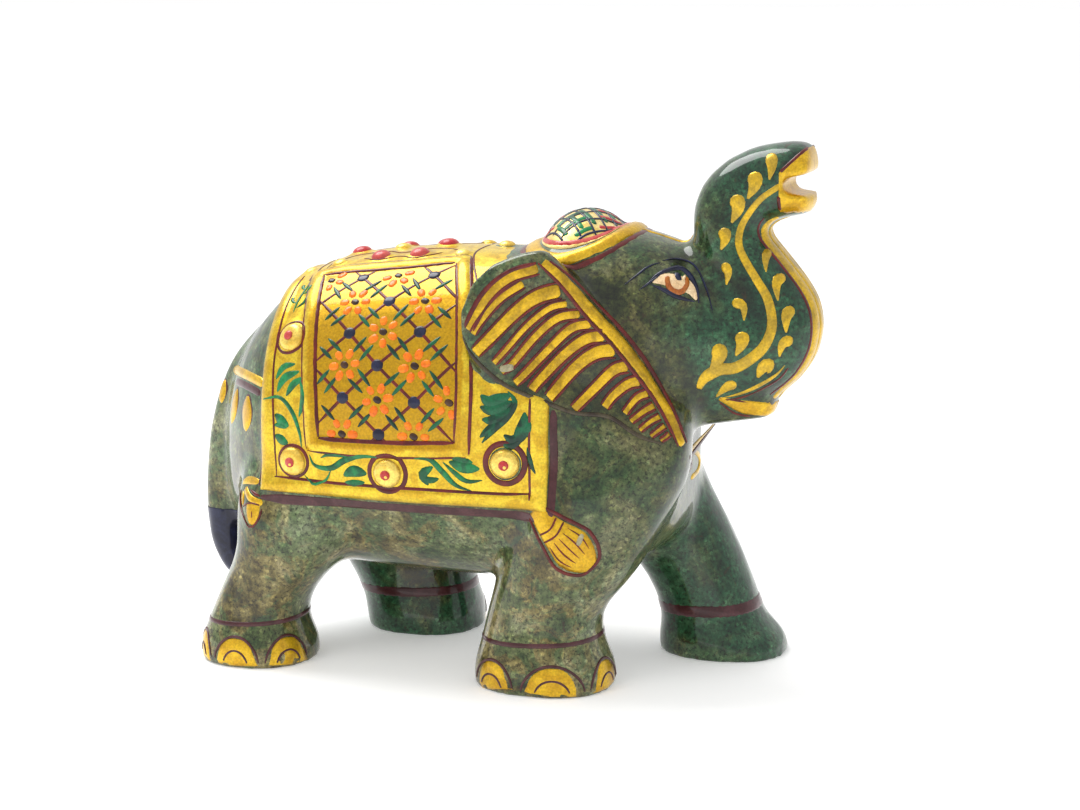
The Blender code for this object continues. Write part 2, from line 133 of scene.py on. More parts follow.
def aventurine():
    """Polished green stone: cloudy green and brown patches, sugary grain, rusty flaws, clear lacquer, painted
    shade low on the far side.
    """
    material, shader, link = paint_material("aventurine")
    coords = node_in(material, "ShaderNodeTexCoord").outputs["Object"]
    clouds = noise_in(material, coords, 95.0, 5.0, 0.62, 0.6)
    patches = noise_in(material, coords, 380.0, 4.0, 0.65, 0.4)
    grain = noise_in(material, coords, 2300.0, 3.0, 0.75)

    def times(first, second):
        return reckoned(material, "MULTIPLY", first, second)

    both = reckoned(material, "ADD", times(clouds, 0.5), times(patches, 0.5))

    def shades(*colours):
        """A ramp through the cloudy pattern, from its darkest places to its palest."""
        ramp = ramp_in(material, *zip((0.40, 0.47, 0.53, 0.62), colours))
        link(both, ramp.inputs[0])
        return ramp.outputs[0]

    green = shades((0.010, 0.050, 0.016), (0.036, 0.086, 0.028), (0.076, 0.128, 0.050), (0.150, 0.190, 0.100))
    deep = shades((0.003, 0.022, 0.010), (0.008, 0.048, 0.020), (0.020, 0.080, 0.034), (0.050, 0.115, 0.055))
    olive = shades((0.008, 0.012, 0.002), (0.022, 0.030, 0.006), (0.052, 0.056, 0.012), (0.100, 0.090, 0.030))
    khaki = shades((0.046, 0.036, 0.007), (0.118, 0.094, 0.026), (0.190, 0.158, 0.056), (0.300, 0.255, 0.120))

    place = node_in(material, "ShaderNodeSeparateXYZ")
    link(coords, place.inputs[0])
    drift = times(reckoned(material, "SUBTRACT", clouds, 0.5), 0.03)

    def rising(axis, start, end):
        """From 0 to 1 between two places along an axis, with a wandering border."""
        node = node_in(material, "ShaderNodeMapRange", interpolation_type="SMOOTHSTEP")
        node.inputs["From Min"].default_value = start
        node.inputs["From Max"].default_value = end
        link(reckoned(material, "ADD", place.outputs[axis], drift), node.inputs["Value"])
        return node.outputs[0]

    trunk = times(rising("X", 0.023, 0.030), rising("Z", 0.032, 0.038))
    head = times(rising("Z", 0.029, 0.035), rising("Z", 0.053, 0.048))
    cheek = times(rising("X", -0.001, 0.008), head)
    shoulder = times(rising("X", 0.006, 0.012), rising("Z", 0.014, 0.024))
    cheek = reckoned(material, "MAXIMUM", cheek, times(shoulder, 0.5))
    low = times(rising("Z", 0.030, 0.010), rising("X", 0.028, 0.008))
    # the far side below the cloth, turned to the deep greens: painted shade, not the stone's colour
    far = times(rising("Y", -0.001, 0.006), rising("Z", 0.030, 0.020))
    veins = node_in(material, "ShaderNodeMapRange", interpolation_type="SMOOTHSTEP")
    veins.inputs["From Min"].default_value, veins.inputs["From Max"].default_value = 0.46, 0.56
    link(noise_in(material, coords, 170.0, 6.0, 0.72, 1.4), veins.inputs["Value"])
    stained = times(veins.outputs[0], reckoned(material, "ADD", times(low, 0.45), 0.42))
    stained = reckoned(material, "ADD", stained, times(low, 0.35), clamp=True)

    colour = mixed(material, "MIX", stained, green, khaki)
    colour = mixed(material, "MIX", cheek, colour, olive)
    # deep green on the trunk is the stone's own; on the far side low down it is painted shade
    colour = mixed(material, "MIX", reckoned(material, "MAXIMUM", trunk, far), colour, deep)

    crystals = node_in(material, "ShaderNodeTexVoronoi", in__Scale=2600.0)
    link(coords, crystals.inputs["Vector"])
    glint = node_in(material, "ShaderNodeSeparateColor")
    link(crystals.outputs["Color"], glint.inputs[0])
    sugar = ramp_in(material, (0.0, 0.55), (0.5, 0.98), (0.88, 1.15), (1.0, 1.9))
    link(glint.outputs[0], sugar.inputs[0])
    colour = mixed(material, "MULTIPLY", 0.8, colour, sugar.outputs[0])
    pepper = ramp_in(material, (0.36, 0.16), (0.46, 0.90), (0.58, 1.10), (0.72, 1.80))
    link(grain, pepper.inputs[0])
    colour = mixed(material, "MULTIPLY", 0.9, colour, pepper.outputs[0])
    flaws = ramp_in(material, (0.60, 0.0), (0.68, 1.0))
    link(noise_in(material, coords, 520.0, 4.0, 0.8, 0.8), flaws.inputs[0])
    colour = mixed(material, "MIX", times(flaws.outputs[0], 0.8), colour, (0.030, 0.016, 0.006))
    rust = ramp_in(material, (0.64, 0.0), (0.72, 1.0))
    link(noise_in(material, coords, 260.0, 6.0, 0.8, 1.2), rust.inputs[0])
    colour = mixed(material, "MIX", times(rust.outputs[0], 0.5), colour, (0.110, 0.050, 0.014))
    link(colour, shader.inputs["Base Color"])

    dull = ramp_in(material, (0.3, 0.30), (0.7, 0.46))
    link(grain, dull.inputs[0])
    link(dull.outputs[0], shader.inputs["Roughness"])
    shader.inputs["Specular IOR Level"].default_value = 0.15
    hand = node_in(material, "ShaderNodeBump", in__Strength=0.8, in__Distance=0.00035)
    link(noise_in(material, coords, 260.0, 3.0, 0.5), hand.inputs["Height"])
    pits = node_in(material, "ShaderNodeBump", in__Strength=0.35, in__Distance=0.00005)
    link(grain, pits.inputs["Height"])
    link(hand.outputs[0], pits.inputs["Normal"])
    link(pits.outputs[0], shader.inputs["Normal"])
    shader.inputs["Coat Weight"].default_value = 0.8
    shader.inputs["Coat Roughness"].default_value = 0.05
    shader.inputs["Coat IOR"].default_value = 1.5
    return material


carving = bpy.data.objects.new("aventurine_carving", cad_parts["elephant"].data.copy())
bpy.context.scene.collection.objects.link(carving)
alone(carving)
bpy.ops.object.mode_set(mode="EDIT")
bpy.ops.mesh.select_all(action="SELECT")
bpy.ops.mesh.remove_doubles(threshold=1e-6)
bpy.ops.object.mode_set(mode="OBJECT")
grinding = carving.modifiers.new("grinding", "REMESH")
grinding.mode = "VOXEL"
grinding.voxel_size = STONE_GRAIN
polishing = carving.modifiers.new("polishing", "SMOOTH")
polishing.factor = 0.5
polishing.iterations = STONE_POLISH
bpy.ops.object.modifier_apply(modifier="grinding")
bpy.ops.object.modifier_apply(modifier="polishing")
fitted(carving, aventurine())
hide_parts("elephant")


# The saddlecloth's ground. The raised cloth is covered in gold size and rubbed bright; a rolled edge runs
# round it, a second roll frames the panel on each flank, and the gold wraps over the cloth's edge onto the
# hide.

CLOTH_BACK, CLOTH_FRONT, HEM_HEIGHT = -27.3, 9.4, 22.4  # in the carver's drawing, millimetres
BARREL = 30.0  # height of the line that the cloth is wrapped round
HEM = 40.0  # the cloth is marked out in parts from the ridge, 0, to each hem
GOLD_THICKNESS = 0.10
EDGE_ROLL, EDGE_ROLL_HEIGHT = 1.0, 0.40
PANEL_ROLL, PANEL_ROLL_HEIGHT = 0.95, 0.38
PANEL_TOP_BACK, PANEL_LOW_BACK = (-22.0, 8.5), (-19.0, 32.3)  # corners, forward and in parts from the ridge
PANEL_LOW_FRONT, PANEL_TOP_FRONT = (-1.5, 32.0), (-4.8, 7.8)
PANEL_BOWS = (-0.45, 0.3, 1.3, -0.9)  # how far its back, low, front and top side swell at their middle
EAR_ROUND_MIDDLE, EAR_ROUND_RADIUS = (7.3, 44.5), 8.15  # the ear's round back edge, forward and up
EAR_TOP = (8.4, 53.0)
EAR_SHADOW_FRONT, EAR_SHADOW_FOOT = 14.0, 33.0  # before the cloth, where the shadow no longer matters
BEHIND_EAR, EAR_FOOT = -3.0, 33.5  # forward of the one and above the other, the ear may lie over the cloth
STUD_PASSES, CLOTH_PASSES = 90, 4  # of evening out, where the studs stand and then all over
CHART_STEP = 0.5  # between the chart's lines, millimetres forward and parts down
STUDS = [(-23.5, 41.0), (-22.5, 26.5), (-10.0, 26.0), (4.5, 28.0)]  # forward and up, as the carver set them
BEADS = [(-20.0, 0.0), (-15.5, 5.0), (-10.5, 5.0), (-8.5, 0.0)]  # forward and across
KNOBS = [(-14.5, 0.0), (-25.5, 3.5), (-21.0, 5.0), (-5.0, 5.0), (-1.0, 0.0)]


def panel_outline():
    """The panel's four sides, four marks to a side, from its top back corner down and round."""
    corners = [PANEL_TOP_BACK, PANEL_LOW_BACK, PANEL_LOW_FRONT, PANEL_TOP_FRONT]
    marks = []
    for start, end, bow in zip(corners, corners[1:] + corners[:1], PANEL_BOWS):
        start, way = np.array(start), np.array(end) - np.array(start)
        outwards = np.array([-way[1], way[0]]) / np.hypot(*way)
        marks += [tuple(start + way * t + outwards * bow * 4 * t * (1 - t)) for t in (0.0, 0.25, 0.5, 0.75)]
    return marks


def moved_out(outline, distance):
    """An outline drawn outside another at an even distance."""
    marks = np.array(outline)
    way = np.roll(marks, -1, 0) - marks
    way /= np.linalg.norm(way, axis=1)[:, None]
    after = np.stack([-way[:, 1], way[:, 0]], -1)
    before = np.roll(after, 1, 0)
    square = (after + before) / (1 + (after * before).sum(1))[:, None]
    return [tuple(mark) for mark in marks + square * distance]


def ear_shadow():
    """Where the ear stands before the cloth, forward and up."""
    (x, z), turns = EAR_ROUND_MIDDLE, np.radians(np.linspace(102, 262, 9))
    round_edge = [(x + EAR_ROUND_RADIUS * math.cos(a), z + EAR_ROUND_RADIUS * math.sin(a)) for a in turns]
    return [(EAR_SHADOW_FRONT, EAR_TOP[1]), EAR_TOP, *round_edge, (EAR_SHADOW_FRONT, EAR_SHADOW_FOOT)]


PANEL = panel_outline()
PANEL_FRAME = moved_out(PANEL, 0.8)  # the middle of the panel's roll
EAR_SHADOW = ear_shadow()


def skin_of(piece):
    """The surface that a brush can be laid on, in millimetres of the carver's drawing."""
    places = [v.co * 1000 - SET_DOWN for v in piece.data.vertices]
    return BVHTree.FromPolygons(places, [f.vertices[:] for f in piece.data.polygons])


stone_skin = skin_of(carving)


def girths(forward, turns):
    """How far the stone reaches from the barrel's line at one place forward, for each turn from upright."""
    start = Vector((forward, 0, BARREL))
    return np.array([stone_skin.ray_cast(start, Vector((0, -math.sin(a), math.cos(a))))[3] for a in turns])


def evened(reach):
    """Each reach drawn to the mean of those beside it."""
    even = (np.roll(reach, 1, 1) + np.roll(reach, -1, 1)) / 2
    even[1:-1] = even[1:-1] / 2 + (reach[2:] + reach[:-2]) / 4
    return even


def wrapped():
    """The cloth's own surface without its studs: places forward, turns, and the reach at each."""
    forward = np.arange(CLOTH_BACK + 0.4, CLOTH_FRONT - 0.2, CHART_STEP)
    turns = np.radians(np.arange(-129.0, 129.1, 1.5))
    reach = np.array([girths(x, turns) for x in forward])
    behind_ear = girths(BEHIND_EAR, turns)
    up = BARREL + reach * np.cos(turns)
    under_ear = (forward[:, None] > BEHIND_EAR) & (up > EAR_FOOT)
    reach = np.where(under_ear, np.minimum(reach, behind_ear), reach)
    across = -reach * np.sin(turns)
    up = BARREL + reach * np.cos(turns)
    studded = np.zeros(reach.shape, bool)
    for x, z in STUDS:
        studded |= (np.hypot(forward[:, None] - x, up - z) < 2.7) & (abs(across) > 8)
    for x, y in BEADS + KNOBS:
        studded |= (np.hypot(forward[:, None] - x, abs(across) - y) < 2.3) & (up > 40)
    for _ in range(STUD_PASSES):
        reach = np.where(studded, evened(reach), reach)
    for _ in range(CLOTH_PASSES):
        reach[:, 1:-1] = (reach[:, 1:-1] + evened(reach)[:, 1:-1]) / 2
    return forward, turns, reach


def marked_out():
    """The cloth's places, forward, across and up, at even parts from hem to hem."""
    forward, turns, reach = wrapped()
    parts = np.arange(-HEM - 1, HEM + 1.1, CHART_STEP)
    table = np.zeros((len(forward), len(parts), 3))
    for i, x in enumerate(forward):
        across, up = -reach[i] * np.sin(turns), BARREL + reach[i] * np.cos(turns)
        arc = np.concatenate([[0], np.cumsum(np.hypot(np.diff(across), np.diff(up)))])
        arc -= np.interp(0, turns, arc)
        low = (turns > 0) & (np.gradient(up) < 0)
        hem_right = np.interp(-HEM_HEIGHT, -up[low], arc[low])
        low = (turns < 0) & (np.gradient(up) > 0)
        hem_left = -np.interp(HEM_HEIGHT, up[low], arc[low])
        at = np.where(parts > 0, parts / HEM * hem_right, parts / HEM * hem_left)
        table[i] = np.stack([np.full(len(parts), x), np.interp(at, arc, across), np.interp(at, arc, up)], -1)
    return forward, parts, table


cloth_forward, cloth_parts, cloth_table = marked_out()


def on_cloth(x, part):
    """The place on the cloth at so far forward and so many parts from the ridge; the left side is below 0."""
    i = np.clip((np.asarray(x, float) - cloth_forward[0]) / CHART_STEP, 0, len(cloth_forward) - 1.001)
    j = np.clip((np.asarray(part, float) - cloth_parts[0]) / CHART_STEP, 0, len(cloth_parts) - 1.001)
    a, b, i, j = i % 1, j % 1, i.astype(int), j.astype(int)
    a, b = a[..., None], b[..., None]
    place = (
        cloth_table[i, j] * (1 - a) * (1 - b) + cloth_table[i + 1, j] * a * (1 - b)
        + cloth_table[i, j + 1] * (1 - a) * b + cloth_table[i + 1, j + 1] * a * b
    )
    place[..., 0] = x
    return place


def inside(x, part, outline):
    """Whether a mark is within an outline drawn on the same chart."""
    count = 0
    for (ax, ag), (bx, bg) in zip(outline, outline[1:] + outline[:1]):
        if (ag > part) != (bg > part) and x < ax + (part - ag) / (bg - ag) * (bx - ax):
            count += 1
    return count % 2 == 1


def away_from(x, part, line, closed=True):
    """How far each mark on the cloth is from a line drawn on it."""
    points = np.array(line + line[:1] if closed else line, float)
    nearest = np.full(np.shape(x), 1e9)
    for (ax, ag), (bx, bg) in zip(points, points[1:]):
        dx, dg = bx - ax, bg - ag
        t = np.clip(((x - ax) * dx + (part - ag) * dg) / (dx * dx + dg * dg), 0, 1)
        nearest = np.minimum(nearest, np.hypot(x - ax - t * dx, (part - ag - t * dg) * 0.95))
    return nearest


def rounded(distance, half, height):
    """The height of a roll at a distance from its middle."""
    return height * np.sqrt(np.clip(1 - (distance / half) ** 2, 0, 1)) ** 1.4


def gold_group():
    """Gold paint, brushed thin and ochre in places, with bright flakes: colour, dullness and height."""
    group = bpy.data.node_groups.new("brushed_gold", "ShaderNodeTree")
    for name, kind, way in (
        ("Thick", "NodeSocketColor", "INPUT"),
        ("Thin", "NodeSocketColor", "INPUT"),
        ("Wear", "NodeSocketFloat", "INPUT"),
        ("Colour", "NodeSocketColor", "OUTPUT"),
        ("Roughness", "NodeSocketFloat", "OUTPUT"),
        ("Height", "NodeSocketFloat", "OUTPUT"),
    ):
        group.interface.new_socket(name=name, in_out=way, socket_type=kind)
    link = group.links.new

    def added(kind, values=(), **settings):
        """A node in the group with its inputs' values and its settings."""
        node = group.nodes.new(kind)
        for key, value in settings.items():
            setattr(node, key, value)
        for key, value in dict(values).items():
            node.inputs[key].default_value = value
        return node

    given, made = added("NodeGroupInput"), added("NodeGroupOutput")
    coords = added("ShaderNodeTexCoord")
    streaks = added("ShaderNodeTexNoise", {"Scale": 420.0, "Detail": 4.0, "Distortion": 0.8})
    flakes = added("ShaderNodeTexNoise", {"Scale": 3800.0, "Detail": 2.0})
    for noise in (streaks, flakes):
        link(coords.outputs["Object"], noise.inputs["Vector"])
    share = added("ShaderNodeMapRange", {"From Min": 0.62, "From Max": 0.36}, interpolation_type="SMOOTHSTEP")
    link(streaks.outputs["Fac"], share.inputs["Value"])
    worn = added("ShaderNodeMath", operation="MULTIPLY")
    link(share.outputs[0], worn.inputs[0])
    link(given.outputs["Wear"], worn.inputs[1])
    base = added("ShaderNodeMix", data_type="RGBA")
    link(worn.outputs[0], base.inputs[0])
    link(given.outputs["Thick"], base.inputs[6])
    link(given.outputs["Thin"], base.inputs[7])
    sparkle = added("ShaderNodeMapRange", {"From Min": 0.3, "From Max": 0.7, "To Min": 0.78, "To Max": 1.16})
    link(flakes.outputs["Fac"], sparkle.inputs["Value"])
    lit = added("ShaderNodeMix", {0: 1.0}, data_type="RGBA", blend_type="MULTIPLY")
    link(base.outputs[2], lit.inputs[6])
    link(sparkle.outputs[0], lit.inputs[7])
    link(lit.outputs[2], made.inputs["Colour"])
    dull = added("ShaderNodeMapRange", {"To Min": 0.26, "To Max": 0.42})
    link(flakes.outputs["Fac"], dull.inputs["Value"])
    link(dull.outputs[0], made.inputs["Roughness"])
    small = added("ShaderNodeMath", {1: 0.12}, operation="MULTIPLY")
    link(flakes.outputs["Fac"], small.inputs[0])
    height = added("ShaderNodeMath", operation="ADD")
    link(streaks.outputs["Fac"], height.inputs[0])
    link(small.outputs[0], height.inputs[1])
    link(height.outputs[0], made.inputs["Height"])
    return group


brushed_gold = gold_group()


def brushed_paint(name, thick, thin, wear, bump, coat):
    """Paint from a thick and a thin colour; bump is strength and depth, coat is weight and dullness."""
    material, shader, link = paint_material(name)
    brushed = node_in(material, "ShaderNodeGroup", node_tree=brushed_gold)
    brushed.inputs["Thick"].default_value, brushed.inputs["Thin"].default_value = (*thick, 1), (*thin, 1)
    brushed.inputs["Wear"].default_value = wear
    link(brushed.outputs["Colour"], shader.inputs["Base Color"])
    link(brushed.outputs["Roughness"], shader.inputs["Roughness"])
    relief = node_in(material, "ShaderNodeBump", in__Strength=bump[0], in__Distance=bump[1])
    link(brushed.outputs["Height"], relief.inputs["Height"])
    link(relief.outputs[0], shader.inputs["Normal"])
    shader.inputs["Specular IOR Level"].default_value = 0.2
    shader.inputs["Coat Weight"].default_value, shader.inputs["Coat Roughness"].default_value = coat
    return material, shader


def gold_paint(name, thick, thin, wear):
    """A gold paint under clear lacquer."""
    material, shader = brushed_paint(name, thick, thin, wear, (0.5, 0.00010), (0.38, 0.06))
    shader.inputs["Metallic"].default_value = 0.6
    return material


cloth_gold = gold_paint("cloth_gold", (0.78, 0.54, 0.030), (0.50, 0.27, 0.005), 0.7)
field = node_in(cloth_gold, "ShaderNodeAttribute", attribute_name="panel_field").outputs["Fac"]
cloth_brushed = next(n for n in cloth_gold.node_tree.nodes if n.type == "GROUP")
field_gold = mixed(cloth_gold, "MIX", field, (0.76, 0.54, 0.030), (0.52, 0.290, 0.003))
cloth_gold.node_tree.links.new(field_gold, cloth_brushed.inputs["Thick"])
bright_gold = gold_paint("bright_gold", (0.74, 0.46, 0.018), (0.54, 0.29, 0.008), 0.8)


def gilded_cloth():
    """The gold ground of the cloth, with its rolls."""
    along, round_it = 124, 276
    bpy.ops.object.select_all(action="DESELECT")
    bpy.ops.mesh.primitive_grid_add(x_subdivisions=along, y_subdivisions=round_it, size=0.04)
    cloth = bpy.context.object
    cloth.name = "saddlecloth_gilding"
    x = np.linspace(CLOTH_BACK - 0.25, CLOTH_FRONT + 0.25, along + 1)
    part = np.linspace(-HEM - 0.5, HEM + 0.5, round_it + 1)
    x, part = np.meshgrid(x, part)
    place = on_cloth(np.clip(x, CLOTH_BACK + 0.5, CLOTH_FRONT - 0.5), part)
    place[..., 0] = x
    out = np.cross(np.gradient(place, axis=0), np.gradient(place, axis=1))
    out /= np.linalg.norm(out, axis=-1)[..., None]
    axle = np.array([0, BARREL])
    middle = place - np.array([0, 0, BARREL])
    middle[..., 0] = 0
    out *= np.sign((out * middle).sum(-1))[..., None]
    from_edge = np.minimum(np.minimum(x - CLOTH_BACK, CLOTH_FRONT - x), (HEM - abs(part)) * 0.95)
    height = GOLD_THICKNESS + rounded(from_edge - EDGE_ROLL, EDGE_ROLL, EDGE_ROLL_HEIGHT)
    height = height + rounded(away_from(x, abs(part), PANEL_FRAME), PANEL_ROLL, PANEL_ROLL_HEIGHT)
    place = place + out * height[..., None]
    reach = np.linalg.norm(place[..., 1:] - axle, axis=-1)
    stone, spots = np.zeros(x.shape), np.zeros((*x.shape, 3))
    for i, j in np.ndindex(x.shape):
        way = Vector((0, place[i, j, 1], place[i, j, 2] - BARREL)).normalized()
        found, _, _, stone[i, j] = stone_skin.ray_cast(Vector((x[i, j], 0, BARREL)), way)
        spots[i, j] = found
    laid = np.where(x < BEHIND_EAR, np.maximum(reach, stone + 0.07), np.minimum(reach, stone + height))
    covered = [inside(*mark, EAR_SHADOW) for mark in zip(x.ravel(), spots[..., 2].ravel())]
    under = away_from(x, spots[..., 2], EAR_SHADOW) * np.array(covered).reshape(x.shape)
    under = np.where(abs(spots[..., 1]) > 6.0, np.clip(under / 0.9, 0, 1), 0)
    under = np.maximum(under, np.clip(x - 3.4, 0, 1) * (spots[..., 2] > 49.0))
    laid = np.where(under > 0, laid * (1 - under) + (np.minimum(reach, stone) - 0.5) * under, laid)
    laid = np.where((from_edge > 0.1) | (under > 0), laid, reach)
    place[..., 1:] = axle + (place[..., 1:] - axle) * (laid / reach)[..., None]
    tucked = np.clip(-from_edge / 0.25, 0, 1) ** 2 * 1.3
    place = place - out * tucked[..., None]
    cloth.data.vertices.foreach_set("co", ((place + np.array(SET_DOWN)) / 1000).ravel())
    cloth.data.update()
    in_panel = np.array([inside(*m, PANEL_FRAME) for m in zip(x.ravel(), abs(part).ravel())], float)
    cloth.data.attributes.new("panel_field", "FLOAT", "POINT").data.foreach_set("value", in_panel)
    alone(cloth)
    bpy.ops.object.mode_set(mode="EDIT")
    bpy.ops.mesh.select_all(action="SELECT")
    bpy.ops.mesh.normals_make_consistent(inside=False)
    bpy.ops.object.mode_set(mode="OBJECT")
    skin = skin_of(cloth)
    backing = cloth.modifiers.new("backing", "SOLIDIFY")
    backing.thickness = 0.0002
    backing.offset = -1
    bpy.ops.object.modifier_apply(modifier="backing")
    return fitted(cloth, cloth_gold), skin


cloth, cloth_skin = gilded_cloth()


# The panel on each flank. Enamels laid with a fine brush over the gold: a maroon lattice on the slant with
# blue black dots where it crosses, a flower in each mesh, and pairs of green ticks across every bar.

PAINT_CROWN = ((-1.0, -0.4), (-0.6, 0.85), (0.0, 1.0), (0.6, 0.85), (1.0, -0.4))  # across and height
PAINT_BACK = 0.00010  # how far a stroke's underside lies below its top, inside the ground
LINE_THICKNESS, BODY_THICKNESS = 0.07, 0.11  # a thin line of enamel and a full one, millimetres
MESH_MIDDLE = (-11.3, 23.1)  # the lattice's middle crossing, forward and in parts from the ridge
MESH_ALONG, MESH_DOWN = 4.5, 4.25  # half a mesh each way
MESH_COUNT = range(-4, 5)
HAND_STRAY = 0.3  # how far a crossing strays from its place
PETALS, PETAL_REACH = 6, (1.4, 1.45)  # round each flower, forward and down
TICK_REACH, TICKS_APART = 1.45, 0.72  # half a tick's length, and half the gap within a pair
wavering = np.random.default_rng(11)


def brushed_line(marks, gap=0.45, ring=False):
    """The brush's way through its marks, at even steps."""
    marks = np.array(marks, float)
    if ring:
        padded = np.vstack([marks[-1:], marks, marks[:2]])
    else:
        padded = np.vstack([2 * marks[0] - marks[1], marks, 2 * marks[-1] - marks[-2]])
    fine = []
    for a, b, c, d in zip(padded, padded[1:], padded[2:], padded[3:]):
        for t in np.linspace(0, 1, 9)[:-1]:
            fine.append(b + 0.5 * t * (c - a + t * (2 * a - 5 * b + 4 * c - d + t * (3 * b - 3 * c + d - a))))
    fine = np.array([*fine, marks[0] if ring else marks[-1]])
    arc = np.concatenate([[0], np.cumsum(np.linalg.norm(np.diff(fine, axis=0), axis=1))])
    steps = max(6, math.ceil(arc[-1] / gap))
    return np.stack([np.interp(np.linspace(0, arc[-1], steps + 1), arc, axis) for axis in fine.T], -1)


def traced(chart, marks, gap=0.45, ring=False):
    """A line drawn on a chart, as places on the carving."""
    return np.array([chart(*mark) for mark in brushed_line(marks, gap, ring)])


def swelling(shape, t):
    """How wide a stroke is along it, as a share of its full width."""
    if shape == "line":
        return 0.4 + 0.6 * np.clip(np.minimum(t, 1 - t) * 12, 0, 1)
    if shape == "leaf":
        return np.maximum(np.sin(np.pi * t) ** 0.8, 0.12)
    if shape == "comma":  # a full head that runs out to a point
        head = np.sqrt(np.clip(1 - ((t - 0.3) / 0.3) ** 2, 0, 1))
        return np.maximum(np.where(t < 0.3, head, np.clip((1 - t) / 0.7, 0, 1) ** 0.8), 0.14)
    if shape == "stripe":
        return np.clip(t * 6 + 0.6, 0, 1) * (1 - 0.32 * t)
    if shape == "strap":
        return 0.55 + 0.45 * np.sin(np.pi * t) ** 0.7
    if shape == "dot":
        return np.maximum(np.sqrt(np.clip(1 - (2 * t - 1) ** 2, 0, 1)), 0.3)
    if shape == "taper":
        return np.clip(t * 9 + 0.4, 0, 1) * (1 - 0.62 * t**0.7)
    if shape == "lip":
        return np.clip(0.25 + 1.6 * t, 0, 1) * np.clip((1 - t) * 9 + 0.5, 0, 1)
    if shape == "nail":
        return np.maximum(np.sqrt(np.clip(1 - t**2, 0, 1)), 0.12)
    if shape == "shell":  # a narrow neck that opens into a round fan
        neck = 0.34 + 0.66 * np.clip(t / 0.62, 0, 1) ** 1.1
        fan = np.sqrt(np.clip(1 - ((t - 0.62) / 0.38) ** 2 * (t > 0.62), 0, 1))
        return np.maximum(neck * fan, 0.14)
    return np.ones_like(t)  # a ring


def pressed(line, half, shape, skin, thick):
    """A stroke's points on the ground beneath it, row by row over its width."""
    found = [skin.find_nearest(Vector(p)) for p in line]
    line = np.array([f[0] for f in found])
    normals = np.array([f[1] for f in found])
    along = np.gradient(line, axis=0)
    if shape == "ring":
        along[0] = along[-1] = line[1] - line[-2]
    side = np.cross(normals, along)
    side /= np.linalg.norm(side, axis=1)[:, None] + 1e-9
    width = half * swelling(shape, np.linspace(0, 1, len(line)))
    rows = []
    for across, crown in PAINT_CROWN:
        row = []
        for i, (place, outwards, w) in enumerate(zip(line, side, width)):
            spot, normal, _, _ = skin.find_nearest(Vector(place + outwards * w * across))
            ends = shape != "ring" and i in (0, len(line) - 1)
            row.append(spot + normal * thick * (-0.4 if ends else crown * min(1.0, 0.35 + w / half)))
        rows.append(row)
    return np.array(rows)


def coat(name, strokes, skin, slot, material, thick=BODY_THICKNESS):
    """All the strokes of one colour on one ground. A stroke is its line, its half width and its shape."""
    bpy.ops.object.select_all(action="DESELECT")
    across = len(PAINT_CROWN) - 1
    bpy.ops.mesh.primitive_grid_add(x_subdivisions=len(strokes[0][0]) - 1, y_subdivisions=across, size=0.001)
    paint = bpy.context.object
    paint.name = name
    bpy.ops.object.mode_set(mode="EDIT")
    for line, _, _ in strokes[1:]:
        bpy.ops.mesh.primitive_grid_add(x_subdivisions=len(line) - 1, y_subdivisions=across, size=0.001)
    bpy.ops.object.mode_set(mode="OBJECT")
    places = np.concatenate([pressed(*stroke, skin, thick).reshape(-1, 3) for stroke in strokes])
    paint.data.vertices.foreach_set("co", ((places + np.array(SET_DOWN)) / 1000).ravel())
    paint.data.update()
    alone(paint)
    if any(shape == "ring" for _, _, shape in strokes):
        bpy.ops.object.mode_set(mode="EDIT")
        bpy.ops.mesh.select_all(action="SELECT")
        bpy.ops.mesh.remove_doubles(threshold=2e-6)
        bpy.ops.object.mode_set(mode="OBJECT")
    underside = paint.modifiers.new("underside", "SOLIDIFY")
    underside.thickness = PAINT_BACK
    underside.offset = -1
    bpy.ops.object.modifier_apply(modifier="underside")
    return fitted(paint, material)


def both_sides(strokes):
    """The strokes of the right side, and the same on the left."""
    return strokes + [(line * np.array([1, -1, 1]), half, shape) for line, half, shape in strokes]


def spot(chart, x, up, radius, long=1.0, slant=0.0):
    """A dab of paint, round or longer one way."""
    reach = radius * long
    dx, dy = reach * math.cos(slant), reach * math.sin(slant)
    return traced(chart, [(x - dx, up - dy), (x + dx, up + dy)]), radius, "dot"


def enamel(name, thick, thin, wear=0.8):
    """A glossy enamel, streaked where the brush left it thin."""
    return brushed_paint(name, thick, thin, wear, (0.3, 0.00006), (0.5, 0.08))[0]


maroon = enamel("maroon_enamel", (0.075, 0.004, 0.004), (0.16, 0.012, 0.008))
leaf_green = enamel("leaf_green_enamel", (0.0015, 0.075, 0.026), (0.006, 0.21, 0.060), 1.0)
dark_green = enamel("dark_green_enamel", (0.0015, 0.026, 0.014), (0.003, 0.120, 0.045), 0.9)
blue_black = enamel("blue_black_enamel", (0.004, 0.005, 0.022), (0.016, 0.020, 0.060))
orange = enamel("orange_enamel", (0.80, 0.150, 0.0), (0.86, 0.22, 0.002))
seed_brown = enamel("seed_brown_enamel", (0.020, 0.006, 0.004), (0.075, 0.030, 0.010))


wobble = wavering.uniform(-HAND_STRAY, HAND_STRAY, (len(MESH_COUNT), len(MESH_COUNT), 2))


def crossing(i, j):
    """Where two bars of the lattice cross, counted each way from the middle one, as the hand strayed."""
    return np.array(MESH_MIDDLE) + np.array([(i - j) * MESH_ALONG, (i + j) * MESH_DOWN]) + wobble[i, j]


def side_of(outline, side):
    """One side of the panel, from corner to corner."""
    return (outline + outline[:1])[4 * side:4 * side + 5]


